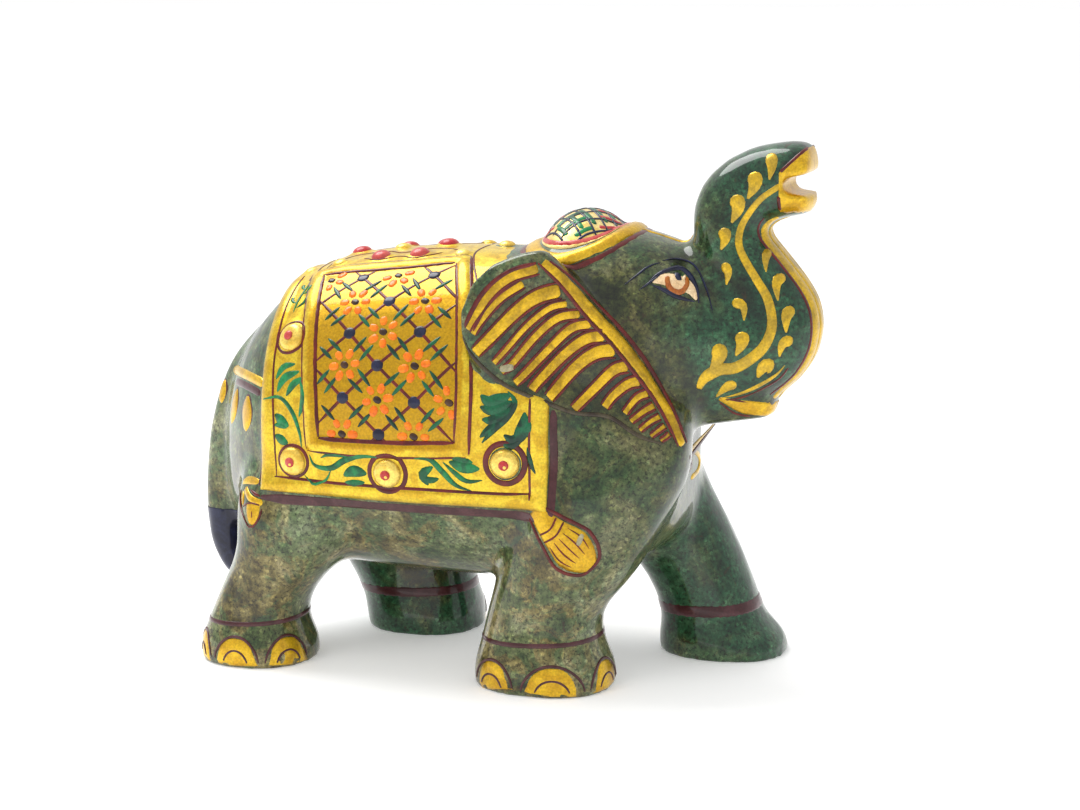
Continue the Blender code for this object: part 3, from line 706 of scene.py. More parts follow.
lattice = []
for fixed in MESH_COUNT:
    for bar in ([crossing(i, fixed) for i in MESH_COUNT], [crossing(fixed, j) for j in MESH_COUNT]):
        within = [tuple(mark) for mark in brushed_line(bar, 0.25) if inside(*mark, PANEL)]
        if len(within) > 8:
            lattice.append((traced(on_cloth, within), 0.23, "line"))
coat("panel_lattice", both_sides(lattice), cloth_skin, "maroon", maroon, LINE_THICKNESS)

outside_roll = moved_out(PANEL, 1.6)
frame_lines = []
for side, half in enumerate((0.26, 0.32, 0.26, 0.22)):
    frame_lines.append((traced(on_cloth, side_of(PANEL, side)), half, "line"))
for side, half in enumerate((0.18, 0.20, 0.28)):
    frame_lines.append((traced(on_cloth, side_of(outside_roll, side)), half, "line"))
coat("panel_frame_lines", both_sides(frame_lines), cloth_skin, "maroon", maroon, LINE_THICKNESS)

knots = []
for i in MESH_COUNT:
    for j in MESH_COUNT:
        mark = crossing(i, j)
        if inside(*mark, PANEL) and away_from(*mark, PANEL) > 0.8:
            knots.append(spot(on_cloth, *mark, 0.84))
coat("lattice_dots", both_sides(knots), cloth_skin, "blue_black", blue_black, 0.13)

ticks, petals, seeds = [], [], []
for i in MESH_COUNT[:-1]:
    for j in MESH_COUNT[:-1]:
        for start, end in ((crossing(i, j), crossing(i + 1, j)), (crossing(i, j), crossing(i, j + 1))):
            way = (end - start) / np.linalg.norm(end - start)
            for shift in (-TICKS_APART, TICKS_APART):
                reach, lean = TICK_REACH + wavering.uniform(-0.14, 0.14), wavering.uniform(-0.14, 0.14)
                across = np.array([way[1] - way[0] * lean, -way[0] - way[1] * lean]) * reach
                middle = (start + end) / 2 + way * shift
                ends = [tuple(middle - across), tuple(middle + across)]
                if all(inside(*mark, PANEL) for mark in ends):
                    ticks.append((traced(on_cloth, ends), 0.32, "leaf"))
        x, part = (crossing(i, j) + crossing(i + 1, j) + crossing(i, j + 1) + crossing(i + 1, j + 1)) / 4
        first = wavering.uniform(0, 1.2)
        if not inside(x, part, PANEL) or away_from(x, part, PANEL) < 0.6:
            continue
        seeds.append(spot(on_cloth, x, part, 0.50, 1.2, 0.4))
        for turn in first + np.arange(PETALS) * 2 * math.pi / PETALS:
            petal = (x + PETAL_REACH[0] * math.cos(turn), part + PETAL_REACH[1] * math.sin(turn))
            if inside(*petal, PANEL) and away_from(*petal, PANEL) > 0.5:
                petals.append(spot(on_cloth, *petal, 0.55 + wavering.uniform(-0.06, 0.06), 1.25, turn))
coat("lattice_ticks", both_sides(ticks), cloth_skin, "leaf_green", dark_green, 0.12)
coat("flower_petals", both_sides(petals), cloth_skin, "orange", orange, 0.13)
coat("flower_seeds", both_sides(seeds), cloth_skin, "brown", seed_brown, 0.13)


# The border round the panel. Maroon lines beside the rolls and, in green enamel, a running scroll of commas
# and tendrils along the back and the hem, and one bold leaf spray at the front.

BORDER_LINES = [
    ([(-25.5, 6.0), (-25.7, 20.0), (-25.0, 38.0)], 0.15),
    ([(-25.5, 38.0), (-8.5, 38.0), (7.7, 38.0)], 0.24),
    ([(7.5, 26.0), (7.4, 39.0)], 0.22),
]
VIEW_TURN, VIEW_RISE = math.radians(18), math.radians(10)  # how far the camera stands to the front, and up
VIEW_MIDDLE, VIEW_DISTANCE = Vector((0.0, 0.0, 34.0)), 300.0  # what it looks at, in the drawing; millimetres
VIEW_LEVEL = Vector((math.sin(VIEW_TURN), -math.cos(VIEW_TURN), 0))
VIEW_BACK = VIEW_LEVEL * math.cos(VIEW_RISE) + Vector((0, 0, math.sin(VIEW_RISE)))  # the way to the camera
VIEW_RIGHT = Vector((math.cos(VIEW_TURN), math.sin(VIEW_TURN), 0))
PHOTO_MIDDLE, PHOTO_SCALE = (515.0, 386.0), 8.1  # VIEW_MIDDLE in the 1080 x 810 photograph; pixels a mm


def in_view(right, up):
    """The place on the carving that the camera sees so far to the right of and above what it looks at."""
    eye = VIEW_MIDDLE + VIEW_BACK * VIEW_DISTANCE
    aim = VIEW_MIDDLE + VIEW_RIGHT * right + VIEW_BACK.cross(VIEW_RIGHT) * up
    found = stone_skin.ray_cast(eye, (aim - eye).normalized())[0]
    return np.array(found or aim)


def photo(*marks):
    """Marks read in the photograph, right and down in its pixels, as what in_view takes."""
    middle, level = PHOTO_MIDDLE
    return [((right - middle) / PHOTO_SCALE, (level - down) / PHOTO_SCALE) for right, down in marks]


def brushed(half, shape, *marks, gap=0.45):
    """A stroke along marks read in the photograph."""
    return traced(in_view, photo(*marks), gap), half, shape


def dabbed(mark, radius, long, slant):
    """A dab of paint on a mark read in the photograph."""
    return spot(in_view, *photo(mark)[0], radius, long, slant)


STEM_STEPS, STEM_WIDTH = 12, 0.6  # of a sprig; its width is a share of its leaves'
LEAF_LONG, LEAF_SHORT = 0.40, 0.24  # the first and the last leaf, as a share of the stem's length
LEAF_BEND = ((1.0, 0.62), (0.6, 0.86), (0.1, 0.5))  # share of a leaf's length, and its turn from the stem
SPRIGS = [  # start forward and in parts, way and curl in degrees, length, leaves, half width
    (-24.3, 15.0, -90, 20, 6.0, 4, 0.34), (2.0, 9.6, -50, 40, 5.0, 4, 0.32),
]
BACK_SCROLL = [  # half width, and marks
    (0.50, (297, 364), (284, 367), (276, 380)), (0.62, (301, 371), (285, 378), (277, 393)),
    (0.55, (306, 377), (294, 384), (286, 397)), (0.52, (300, 377), (304, 397), (299, 418)),
    (0.36, (261, 401), (279, 397), (292, 411), (300, 433), (302, 449)),
    (0.80, (275, 413), (282, 421), (290, 427)), (0.45, (274, 425), (281, 425), (288, 428)),
    (0.72, (275, 434), (281, 439), (289, 444)),
]
HEM_SCROLLS = [
    (0.46, (309, 453), (315, 465), (331, 468), (345, 460), (364, 455), (385, 457)),
    (0.34, (320, 458), (331, 454), (351, 456)),
    (0.22, (304, 474), (315, 484), (326, 480), (332, 468)),
    (0.85, (343, 476), (354, 471), (368, 474)), (0.55, (344, 482), (355, 483), (366, 482)),
    (0.44, (409, 457), (429, 459), (442, 471), (456, 485), (473, 491)),
    (0.66, (434, 466), (423, 474), (429, 486)), (0.50, (420, 477), (431, 480), (440, 478)),
    (0.38, (442, 461), (454, 472), (467, 481), (484, 480)),
    (0.85, (448, 461), (464, 467), (481, 469)), (0.50, (450, 457), (464, 460), (474, 463)),
]
FRONT_SPRAY = [
    (0.60, (507, 390), (515, 402), (507, 416), (495, 428), (481, 444)),
    (0.95, (480, 394), (491, 402), (512, 394)), (0.85, (479, 406), (492, 410), (514, 401)),
    (0.85, (481, 419), (495, 420), (514, 408)), (0.65, (479, 438), (489, 430), (508, 418)),
    (0.85, (525, 411), (523, 427), (513, 445)), (0.75, (503, 434), (514, 440), (531, 429)),
    (0.75, (532, 420), (525, 432), (515, 439)), (0.55, (501, 444), (512, 446), (523, 437)),
    (0.42, (527, 446), (531, 460), (537, 474)),
]


def way_to(turn):
    """A step of one in a direction on a chart."""
    return np.array([math.cos(turn), math.sin(turn)])


def sprig(x, part, turn, curl, long, leaves, half):
    """A curling stem with comma leaves that spring from it, to its left and right by turns."""
    stem, heading = [np.array([x, part])], math.radians(turn)
    for _ in range(STEM_STEPS):
        heading += math.radians(curl) / STEM_STEPS
        stem.append(stem[-1] + way_to(heading) * long / STEM_STEPS)
    strokes = [([tuple(mark) for mark in stem[::3]], half * STEM_WIDTH, "leaf")]
    for k in range(leaves):
        at = 1 + k * (STEM_STEPS - 2) // leaves
        way = math.atan2(*(stem[at + 1] - stem[at])[::-1])
        side, reach = (1, -1)[k % 2], long * (LEAF_LONG - (LEAF_LONG - LEAF_SHORT) * k / leaves)
        marks = [stem[at] + way_to(way + side * turn) * reach * share for share, turn in LEAF_BEND]
        strokes.append(([tuple(mark) for mark in marks], half, "comma"))
    return [(traced(on_cloth, marks, 0.35), wide, shape) for marks, wide, shape in strokes]


lines = [(traced(on_cloth, marks), half, "line") for marks, half in BORDER_LINES]
coat("border_lines", both_sides(lines), cloth_skin, "maroon", maroon, LINE_THICKNESS)
scrolls = [brushed(half, "leaf", *marks) for half, *marks in BACK_SCROLL + HEM_SCROLLS]
scrolls += [stroke for place in SPRIGS for stroke in sprig(*place)]
coat("border_scrolls", both_sides(scrolls), cloth_skin, "leaf_green", leaf_green)
spray = [brushed(half, "leaf", *marks) for half, *marks in FRONT_SPRAY]
coat("border_leaf_spray", both_sides(spray), cloth_skin, "leaf_green", dark_green)


# The studs. Low round bosses carved in the border, gilded, with a red eye, a fleck of gold in it and a
# maroon ring round the foot; red domes and small gilded knobs stand along the spine between curved maroon
# lines.

BOSS_PROFILE = [  # radius and height, from the foot up
    (1.75, 0.0), (1.78, 0.35), (1.62, 0.72), (1.30, 0.98), (1.0, 1.06), (0.72, 1.0), (0.5, 1.05), (0.2, 1.1),
]
FLECK_PROFILE = [(0.22, 0.0), (0.20, 0.06), (0.1, 0.1)]
EYE_PROFILE = [(0.62, 0.0), (0.60, 0.18), (0.45, 0.30), (0.2, 0.36)]
BEAD_PROFILE = [(1.30, 0.0), (1.30, 0.26), (1.16, 0.58), (0.88, 0.84), (0.52, 0.99), (0.18, 1.04)]
KNOB_PROFILE = [(1.10, 0.0), (1.10, 0.22), (0.96, 0.46), (0.66, 0.66), (0.3, 0.76)]


def turned(name, profile, sides=28):
    """A round form from its foot up: radius and height in millimetres."""
    bpy.ops.object.select_all(action="DESELECT")
    radius, height = profile[0]
    bpy.ops.mesh.primitive_circle_add(vertices=sides, radius=radius / 1000, fill_type="NGON")
    form = bpy.context.object
    form.name = name
    bpy.ops.object.mode_set(mode="EDIT")
    bpy.ops.mesh.select_all(action="SELECT")
    for next_radius, next_height in profile[1:]:
        rise = (0, 0, (next_height - height) / 1000)
        bpy.ops.mesh.extrude_region_move(TRANSFORM_OT_translate={"value": rise})
        share = next_radius / radius
        bpy.ops.transform.resize(value=(share, share, 1), center_override=(0, 0, next_height / 1000))
        radius, height = next_radius, next_height
    bpy.ops.mesh.select_all(action="SELECT")
    bpy.ops.mesh.normals_make_consistent(inside=False)
    bpy.ops.object.mode_set(mode="OBJECT")
    return form


def set_in_place(name, form, spots, material, sunk=0.0):
    """Copies of a form standing square on the surface at each place and normal, as one piece."""
    copies = []
    for place, normal in spots:
        foot = Matrix.Translation((place - normal * sunk + SET_DOWN) / 1000)
        copy = bpy.data.objects.new(name, form.data.copy())
        copy.data.transform(foot @ normal.to_track_quat("Z", "X").to_matrix().to_4x4())
        bpy.context.scene.collection.objects.link(copy)
        copies.append(copy)
    bpy.data.objects.remove(form)
    bpy.ops.object.select_all(action="DESELECT")
    for copy in copies:
        copy.select_set(True)
    bpy.context.view_layer.objects.active = copies[0]
    bpy.ops.object.join()
    piece = bpy.context.object
    piece.name = name
    return fitted(piece, material)


def on_flank(x, up):
    """The place seen straight from the right at so far forward and up."""
    return np.array(stone_skin.ray_cast(Vector((x, -60, up)), Vector((0, 1, 0)))[0] or (x, 0, up))


def on_top(x, across):
    """The place seen straight from above."""
    return np.array(stone_skin.ray_cast(Vector((x, across, 90)), Vector((0, 0, -1)))[0] or (x, across, 0))


def even_spot(x, part):
    """A place on the cloth without its studs, and which way the cloth faces there."""
    forward = on_cloth(x + 1.5, part) - on_cloth(x - 1.5, part)
    down = on_cloth(x, part + 1.5) - on_cloth(x, part - 1.5)
    normal = Vector(np.cross(forward, down)).normalized()
    place = Vector(on_cloth(x, part))
    outwards = place - Vector((x, 0, BARREL))
    return place, normal if normal.dot(outwards) > 0 else -normal


def part_where(x, axis, value):
    """How many parts from the ridge the cloth has that place across, 1, or up, 2."""
    parts = np.linspace(0, 40, 321)
    return parts[np.argmin(abs(abs(on_cloth(np.full(321, x), parts)[:, axis]) - value))]


def standing(marks, axis):
    """Places and facings on both sides for marks that are forward and across or up."""
    parts = [(x, part_where(x, axis, value)) for x, value in marks]
    return [even_spot(x, sign * part) for x, part in parts for sign in ((1, -1) if part > 0.3 else (1,))]


boss_gold = gold_paint("boss_gold", (0.90, 0.66, 0.14), (0.72, 0.42, 0.03), 0.7)
red = enamel("red_enamel", (0.44, 0.022, 0.026), (0.55, 0.10, 0.08))
bosses = standing(STUDS, 2)
set_in_place("border_bosses", turned("boss", BOSS_PROFILE), bosses, boss_gold, 0.1)
eyes_of = [(place + normal * 0.86, normal) for place, normal in bosses]
set_in_place("boss_eyes", turned("boss_eye", EYE_PROFILE, 16), eyes_of, red)
flecks = [(place + normal * 1.16 + Vector((0.18, 0, -0.16)), normal) for place, normal in bosses]
set_in_place("boss_flecks", turned("fleck", FLECK_PROFILE, 10), flecks, boss_gold)
set_in_place("spine_beads", turned("bead", BEAD_PROFILE), standing(BEADS, 1), red, 0.1)
set_in_place("spine_knobs", turned("knob", KNOB_PROFILE, 20), standing(KNOBS, 1), boss_gold, 0.1)


def circle_round(x, part, radius):
    """A ring drawn on the cloth."""
    turns = np.linspace(0, 2 * math.pi, 10)[:-1]
    marks = [(x + radius * math.cos(a), part + radius * 1.05 * math.sin(a)) for a in turns]
    return traced(on_cloth, marks, 0.4, ring=True)


RING_SIZES = [(2.0, 0.22), (2.0, 0.24), (2.3, 0.34), (2.35, 0.42)]  # round each boss: radius and half width
rings = []
for (x, up), (radius, half) in zip(STUDS, RING_SIZES):
    rings.append((circle_round(x, part_where(x, 2, up), radius), half, "ring"))
spine_lines = [
    (side_of(outside_roll, 3), 0.15),
    (
        [
            (-22.5, 6.5), (-20.5, 3.0), (-18.0, 2.5), (-15.5, 2.5), (-13.0, 4.0), (-10.0, 2.5), (-7.0, 3.0),
            (-4.5, 5.0),
        ],
        0.13,
    ),
    ([(-18.0, 5.0), (-15.5, 6.5), (-13.0, 5.5), (-10.5, 6.5), (-7.5, 4.5)], 0.11),
    ([(-3.0, 0.0), (-3.5, 4.0), (-3.0, 7.0), (-1.0, 12.0)], 0.15),
    ([(-23.5, 0.0), (-23.5, 4.0), (-24.0, 9.0)], 0.15),
]
lines = [(traced(on_cloth, marks), half, "line") for marks, half in spine_lines]
coat("stud_rings", both_sides(rings + lines), cloth_skin, "maroon", maroon, LINE_THICKNESS)


# The shadow line round the cloth. A band of dull maroon enamel laid on the bare hide close under the hem
# and up the cloth's two ends, so that the gold seems to stand off the stone.

shadow_paint = enamel("shadow_maroon_enamel", (0.050, 0.010, 0.012), (0.085, 0.026, 0.030), 0.9)
under_hem = [(traced(on_flank, [(-27.5, 21.5), (-8.0, 21.5), (9.5, 21.5)]), 0.72, "line")]
before_cloth = [
    (traced(on_flank, [(9.9, 21.5), (10.0, 28.0), (9.9, 34.5)]), 0.55, "line"),
    (traced(on_flank, [(-27.7, 22.5), (-27.7, 41.0)]), 0.24, "line"),
]
coat("hem_shadow", both_sides(under_hem + before_cloth), stone_skin, "maroon", shadow_paint, 0.06)


# The ears. Each is a raised plate with its rim left bare: a gold strap edged with maroon runs down its
# front, and gold stripes outlined in maroon sweep from it to the rim. A brown line under its lower edge is
# painted shade.

STRAP_BACK = photo(
    (537, 262), (561, 286), (586, 317), (612, 345), (634, 373), (654, 399), (668, 424), (679, 448),
)
STRAP_FRONT = photo(
    (548, 260), (572, 278), (598, 305), (620, 328), (643, 357), (662, 388), (676, 416), (688, 445),
)
EAR_BACK = photo((537, 263), (508, 272), (482, 294), (464, 327))
EAR_EDGE = photo(
    (462, 334), (471, 354), (488, 372), (510, 388), (547, 403), (575, 413), (609, 417),
    (637, 435), (665, 445),
)
STRIPES = [  # half width, and marks from the strap to the rim
    (0.66, (539, 268), (509, 278), (486, 299), (468, 331)),
    (0.50, (524, 283), (500, 299), (481, 321), (472, 335)),
    (0.88, (561, 290), (537, 297), (516, 312), (489, 339), (474, 354)),
    (0.46, (568, 304), (550, 308), (527, 326), (505, 351), (493, 364)),
    (0.56, (581, 314), (558, 318), (536, 336), (512, 364), (500, 372)),
    (0.60, (592, 324), (572, 328), (550, 348), (524, 375), (514, 384)),
    (0.72, (606, 336), (586, 339), (564, 355), (537, 383), (531, 391)),
    (0.86, (616, 350), (596, 353), (575, 368), (548, 399)),
    (0.72, (629, 366), (614, 370), (595, 388), (573, 410)),
    (0.66, (641, 381), (628, 384), (613, 396), (604, 408)),
    (0.50, (649, 393), (637, 398), (624, 414)),
    (0.44, (655, 405), (643, 412), (630, 422)),
    (0.38, (661, 416), (650, 422), (639, 431)),
    (0.34, (666, 425), (659, 430), (650, 437)),
    (0.28, (670, 433), (666, 437), (660, 441)),
]
STRIPE_WIDTH = 1.2  # of the half widths above
OUTLINE_AWAY, OUTLINE_CLOSING = 1.16, 0.28  # from a stripe's middle, in half widths, and how far it closes in
ear_gold = gold_paint("ear_gold", (0.72, 0.44, 0.014), (0.34, 0.20, 0.010), 0.8)
# the brown for the painted shade along each ear's lower edge
ear_edge_shade_brown = enamel("ear_edge_shade_enamel", (0.030, 0.018, 0.010), (0.075, 0.060, 0.030))


def beside(marks, distance, closing=0.0):
    """A line drawn beside another on the same chart, which may close in on it towards its end."""
    marks = np.array(marks, float)
    way = np.gradient(marks, axis=0)
    way /= np.linalg.norm(way, axis=1)[:, None]
    distance = distance * (1 - closing * np.linspace(0, 1, len(marks)))[:, None]
    return [tuple(m) for m in marks + np.stack([-way[:, 1], way[:, 0]], -1) * distance]


stripes = [brushed(half * STRIPE_WIDTH, "stripe", *marks) for half, *marks in STRIPES]
strap_middle = [((bx + fx) / 2, (bz + fz) / 2) for (bx, bz), (fx, fz) in zip(STRAP_BACK, STRAP_FRONT)]
strap = [(traced(in_view, strap_middle), 1.05, "strap")]
coat("ear_gilding", both_sides(stripes + strap), stone_skin, "gilding", ear_gold, 0.10)
outlines = []
for half, *marks in STRIPES:
    for side in (-1, 1):
        edge = beside(photo(*marks), side * half * OUTLINE_AWAY, OUTLINE_CLOSING)
        outlines.append((traced(in_view, edge), 0.20, "line"))
outlines += [(traced(in_view, STRAP_BACK), 0.26, "line"), (traced(in_view, STRAP_FRONT), 0.34, "line")]
outlines += [(traced(in_view, EAR_BACK), 0.32, "line")]
# a brown line along each ear's lower edge: painted shade under the raised plate
ear_edge_shade_line = [(traced(in_view, EAR_EDGE), 0.30, "line")]
coat("ear_edge_painted_shade", both_sides(ear_edge_shade_line), stone_skin, "brown", ear_edge_shade_brown, 0.16)
coat("ear_outlines", both_sides(outlines), stone_skin, "maroon", maroon, 0.14)


# The cap. A domed crown inside a gilded roll, both carved with the head: green, red and dark strokes cross
# on its pale gold ground, a red band lies inside the roll, and a maroon line below it is painted shade under
# the roll.

CAP_MIDDLE, CAP_TILT, RIM_DROOP = (9.2, 52.8), math.radians(12.0), 1.8
RIM_HALVES = (5.9, 8.8)
DOME_SQUARES = (24.0, 54.0)  # the dome's half length and half width, squared
ROLL_START = 0.93  # from here out a place is on the roll


def on_cap(out, turn):
    """A place on the cap: 0 at its top and 1 on the roll, and the turn from the front towards the left."""
    x, y = out * RIM_HALVES[0] * math.cos(turn), out * RIM_HALVES[1] * math.sin(turn)
    level = -RIM_DROOP * math.sin(turn) ** 2 * out**2
    height = CAP_MIDDLE[1] + x * math.sin(CAP_TILT) + level
    start = Vector((CAP_MIDDLE[0] + x * math.cos(CAP_TILT), y, height))
    if out > ROLL_START:
        return np.array(start + Vector((math.cos(turn), math.sin(turn), 1.0)) * 0.5)
    return on_top(start.x, start.y)


cap_gold = gold_paint("cap_gold", (0.92, 0.74, 0.30), (0.82, 0.55, 0.10), 0.7)
round_cap = np.linspace(0, 2 * math.pi, 33)
bpy.ops.object.select_all(action="DESELECT")
bpy.ops.mesh.primitive_grid_add(x_subdivisions=48, y_subdivisions=48, size=0.01)
cap_ground = bpy.context.object
cap_ground.name = "cap_ground"
spread = np.linspace(-1, 1, 49)
places = []
for v in spread:
    for u in spread:
        # a square of marks drawn in to a round one
        a, b = u * math.sqrt(1 - v * v / 2), v * math.sqrt(1 - u * u / 2)
        out, turn = min(math.hypot(a, b), 1.0) * 0.9, math.atan2(b, a)
        place, normal, _, _ = stone_skin.find_nearest(Vector(on_cap(out, turn)))
        places.append(place + normal * 0.07)
cap_ground.data.vertices.foreach_set("co", ((np.array(places) + np.array(SET_DOWN)) / 1000).ravel())
cap_ground.data.update()
cap_skin = skin_of(cap_ground)
alone(cap_ground)
lining = cap_ground.modifiers.new("lining", "SOLIDIFY")
lining.thickness, lining.offset = 0.0001, -1
bpy.ops.object.modifier_apply(modifier="lining")
fitted(cap_ground, cap_gold)

rim = [(np.array([on_cap(1.0, a) for a in round_cap]), 1.15, "ring")]
coat("cap_roll", rim, stone_skin, "gilding", bright_gold, 0.22)
# a maroon line close under the roll: painted shade beneath it
shade_under_rim = [on_cap(1.0, a) + np.array([math.cos(a), math.sin(a), -1.15]) for a in round_cap]
coat("cap_roll_painted_shade", [(np.array(shade_under_rim), 0.42, "ring")], stone_skin, "maroon", maroon, 0.07)
band = [(np.array([on_cap(0.84, a) for a in round_cap]), 0.40, "ring")]
coat("cap_band", band, cap_skin, "red", red, 0.07)


def cap_strokes(slope, shift, half, start=-1.0, end=1.0):
    """A stroke over the dome, seen from above: its slope, its place on the ridge and the share painted."""
    way, middle = np.array([1.0, slope]) / math.hypot(1.0, slope), np.array([0.0, shift])
    long, wide = DOME_SQUARES
    a, b, c = way[0] ** 2 / long + way[1] ** 2 / wide, middle[1] * way[1] / wide, middle[1] ** 2 / wide - 1
    if b * b - a * c <= 0.002:
        return []
    reach = math.sqrt(b * b - a * c) / a
    ends = [middle + way * (-b / a + share * reach) for share in (start, end)]
    marks = [ends[0] + (ends[1] - ends[0]) * t for t in np.linspace(0, 1, 14)]
    return [(np.array([on_top(CAP_MIDDLE[0] + x, y) for x, y in marks]), half, "line")]


darks, greens, reds = [], [], []
for k in range(-4, 5):
    at = 2.7 * k
    darks += cap_strokes(1.1, at, 0.20) + cap_strokes(-1.1, at, 0.20)
    greens += cap_strokes(1.1, at + 0.8, 0.38, -0.8, -0.1) + cap_strokes(-1.1, at + 0.8, 0.38, 0.0, 0.75)
    reds += cap_strokes(-1.1, at + 0.8, 0.34, -0.85, -0.2) + cap_strokes(1.1, at + 0.8, 0.34, 0.15, 0.85)
coat("cap_green_strokes", greens, cap_skin, "leaf_green", leaf_green, 0.08)
coat("cap_red_strokes", reds, cap_skin, "red", red, 0.09)
coat("cap_dark_strokes", darks, cap_skin, "blue_black", blue_black, 0.10)


# The face. Painted almond eyes on low swellings, with a brown iris, a heavy black lid and lashes swept
# back, and a gold line from the cap down the brow to the root of the trunk.

cream = enamel("cream_enamel", (0.80, 0.60, 0.36), (0.70, 0.47, 0.24))
iris_brown = enamel("iris_brown_enamel", (0.42, 0.13, 0.015), (0.30, 0.07, 0.008))
eyeballs = [brushed(1.25, "leaf", (651, 282), (664, 279), (680, 282), (692, 290), (697, 301))]
coat("eye_whites", both_sides(eyeballs), stone_skin, "cream", cream, 0.10)
iris = [brushed(0.42, "line", (667, 274), (668, 284), (673, 291), (681, 292), (687, 284), (685, 275))]
coat("irises", both_sides(iris), stone_skin, "brown", iris_brown, 0.16)
pupils = [dabbed((678, 277), 0.52, 1.2, -1.2)]
coat("pupils", both_sides(pupils), stone_skin, "blue_black", blue_black, 0.20)
glints = [dabbed((684, 278), 0.20, 1.8, 1.3), dabbed((676, 284), 0.20, 1.5, -0.5)]
coat("eye_glints", both_sides(glints), stone_skin, "cream", cream, 0.22)
LIDS = [  # half width and marks: upper lid, lower lid, two lashes swept back and the fold above
    (0.44, (648, 283), (657, 275), (668, 270), (681, 268), (691, 277), (697, 290), (699, 305)),
    (0.34, (650, 284), (664, 290), (678, 297), (696, 302)),
    (0.15, (623, 286), (636, 276), (648, 267), (662, 262)),
    (0.17, (638, 291), (649, 283), (662, 274)),
    (0.14, (660, 261), (678, 259), (695, 266), (706, 288), (713, 313)),
]
lids = [brushed(half, "leaf", *marks) for half, *marks in LIDS]
coat("eyelids", both_sides(lids), stone_skin, "blue_black", blue_black, 0.18)
brow = [(np.array([on_top(x, 0) for x in np.linspace(15.4, 23.4, 20)]), 0.5, "line")]
coat("brow_line", brow, stone_skin, "gilding", ear_gold, 0.1)


# The trunk. Gold brushed straight on the stone: a vine up each side with drop shaped leaves, a broad band
# down its front between maroon lines, and the two fingers at its end gilded all round.

VINE = photo(
    (698, 390), (705, 378), (719, 370), (735, 368), (752, 358), (765, 345), (772, 325), (768, 300),
    (758, 282), (746, 262), (739, 245), (741, 228), (750, 212), (762, 198), (778, 187), (784, 182),
)
LEAVES = [  # half width, and marks from the leaf's head to its point
    (0.66, (770, 152), (772, 165), (769, 181)), (0.82, (753, 171), (755, 184), (747, 200)),
    (0.84, (735, 194), (738, 208), (731, 224)), (0.70, (723, 227), (725, 239), (720, 251)),
    (0.56, (722, 263), (728, 272), (726, 286)), (0.56, (731, 302), (743, 306), (744, 322)),
    (0.76, (741, 331), (742, 343), (735, 357)), (0.84, (718, 343), (719, 357), (708, 376)),
    (0.52, (772, 249), (766, 256), (766, 273)), (0.60, (786, 275), (777, 282), (778, 302)),
    (0.66, (795, 308), (787, 315), (786, 334)), (0.62, (794, 339), (783, 344), (779, 358)),
    (0.88, (775, 367), (764, 367), (757, 379)), (0.64, (737, 383), (726, 388), (715, 398)),
]
LEAF_WIDTH = 1.3  # of the half widths above
trunk_gold = gold_paint("trunk_gold", (0.70, 0.44, 0.022), (0.46, 0.30, 0.03), 1.0)
vine = [(traced(in_view, VINE), 0.98, "taper")]
leaves = [brushed(half * LEAF_WIDTH, "comma", *marks, gap=0.4) for half, *marks in LEAVES]
coat("trunk_vine", both_sides(vine + leaves), stone_skin, "gilding", trunk_gold, 0.09)


def on_front(across, up):
    """The place seen straight from the front."""
    return np.array(stone_skin.ray_cast(Vector((60, across, up)), Vector((-1, 0, 0)))[0] or (30, across, up))


def down_trunk(across):
    """The way down the trunk's front and in under it to the mouth."""
    line = [on_front(across, up) for up in np.linspace(56.2, 43.0, 30)]
    for fall in np.linspace(-2, 64, 30):
        way = Vector((math.cos(math.radians(fall)), 0, -math.sin(math.radians(fall))))
        line.append(np.array(stone_skin.ray_cast(Vector((29.0, across, 42.5)), way)[0]))
    return np.array(line)


band = [(down_trunk(y), 1.15, "line") for y in (-1.9, 0.0, 1.9)]
coat("trunk_band", band, stone_skin, "gilding", trunk_gold, 0.10)
edges = [(down_trunk(side * 3.1), 0.26, "line") for side in (-1, 1)]
coat("trunk_lines", edges, stone_skin, "maroon", maroon, 0.08)
dab_heights = np.linspace(54.2, 58.0, 9)
back_dab = [stone_skin.ray_cast(Vector((17, 0, up)), Vector((1, 0, 0)))[0] for up in dab_heights]
coat("trunk_back_dab", [(np.array(back_dab), 0.7, "leaf")], stone_skin, "gilding", trunk_gold, 0.09)


def gilt_shell(name, keep, material, lift=0.07):
    """A skin of paint over a part of the carving, which planes cut out: a point and the way that is kept."""
    bpy.ops.object.select_all(action="DESELECT")
    shell = bpy.data.objects.new(name, carving.data.copy())
    bpy.context.scene.collection.objects.link(shell)
    alone(shell)
    for point, way in keep:
        bpy.ops.object.mode_set(mode="EDIT")
        bpy.ops.mesh.select_all(action="SELECT")
        place = (Vector(point) + SET_DOWN) / 1000
        bpy.ops.mesh.bisect(plane_co=place, plane_no=Vector(way).normalized(), clear_inner=True)
        bpy.ops.object.mode_set(mode="OBJECT")
    normals = [v.normal.copy() for v in shell.data.vertices]
    for vertex, normal in zip(shell.data.vertices, normals):
        vertex.co += normal * lift / 1000
    skin = shell.modifiers.new("skin", "SOLIDIFY")
    skin.thickness, skin.offset = 0.00012, -1
    bpy.ops.object.modifier_apply(modifier="skin")
    return fitted(shell, material)


TRUNK_END = [((33.5, 0, 60.0), (1, 0, 0)), ((34.3, 0, 62.4), (1, 0, -1.05)), ((34.0, 0, 56.9), (0, 0, 1))]
gilt_shell("trunk_end", TRUNK_END, bright_gold)
finger_edges = both_sides([
    (traced(on_flank, [(36.5, 64.5), (35.0, 63.0), (33.5, 61.5)]), 0.26, "line"),
    (traced(on_flank, [(33.5, 59.0), (33.5, 57.0)]), 0.26, "line"),
])
coat("trunk_end_lines", finger_edges, stone_skin, "maroon", maroon, 0.18)


# The mouth. A short lower lip carved under the trunk, gilded along its side and front, with a maroon line
# in the corner of the mouth and another that follows the gold edge of the trunk above it.

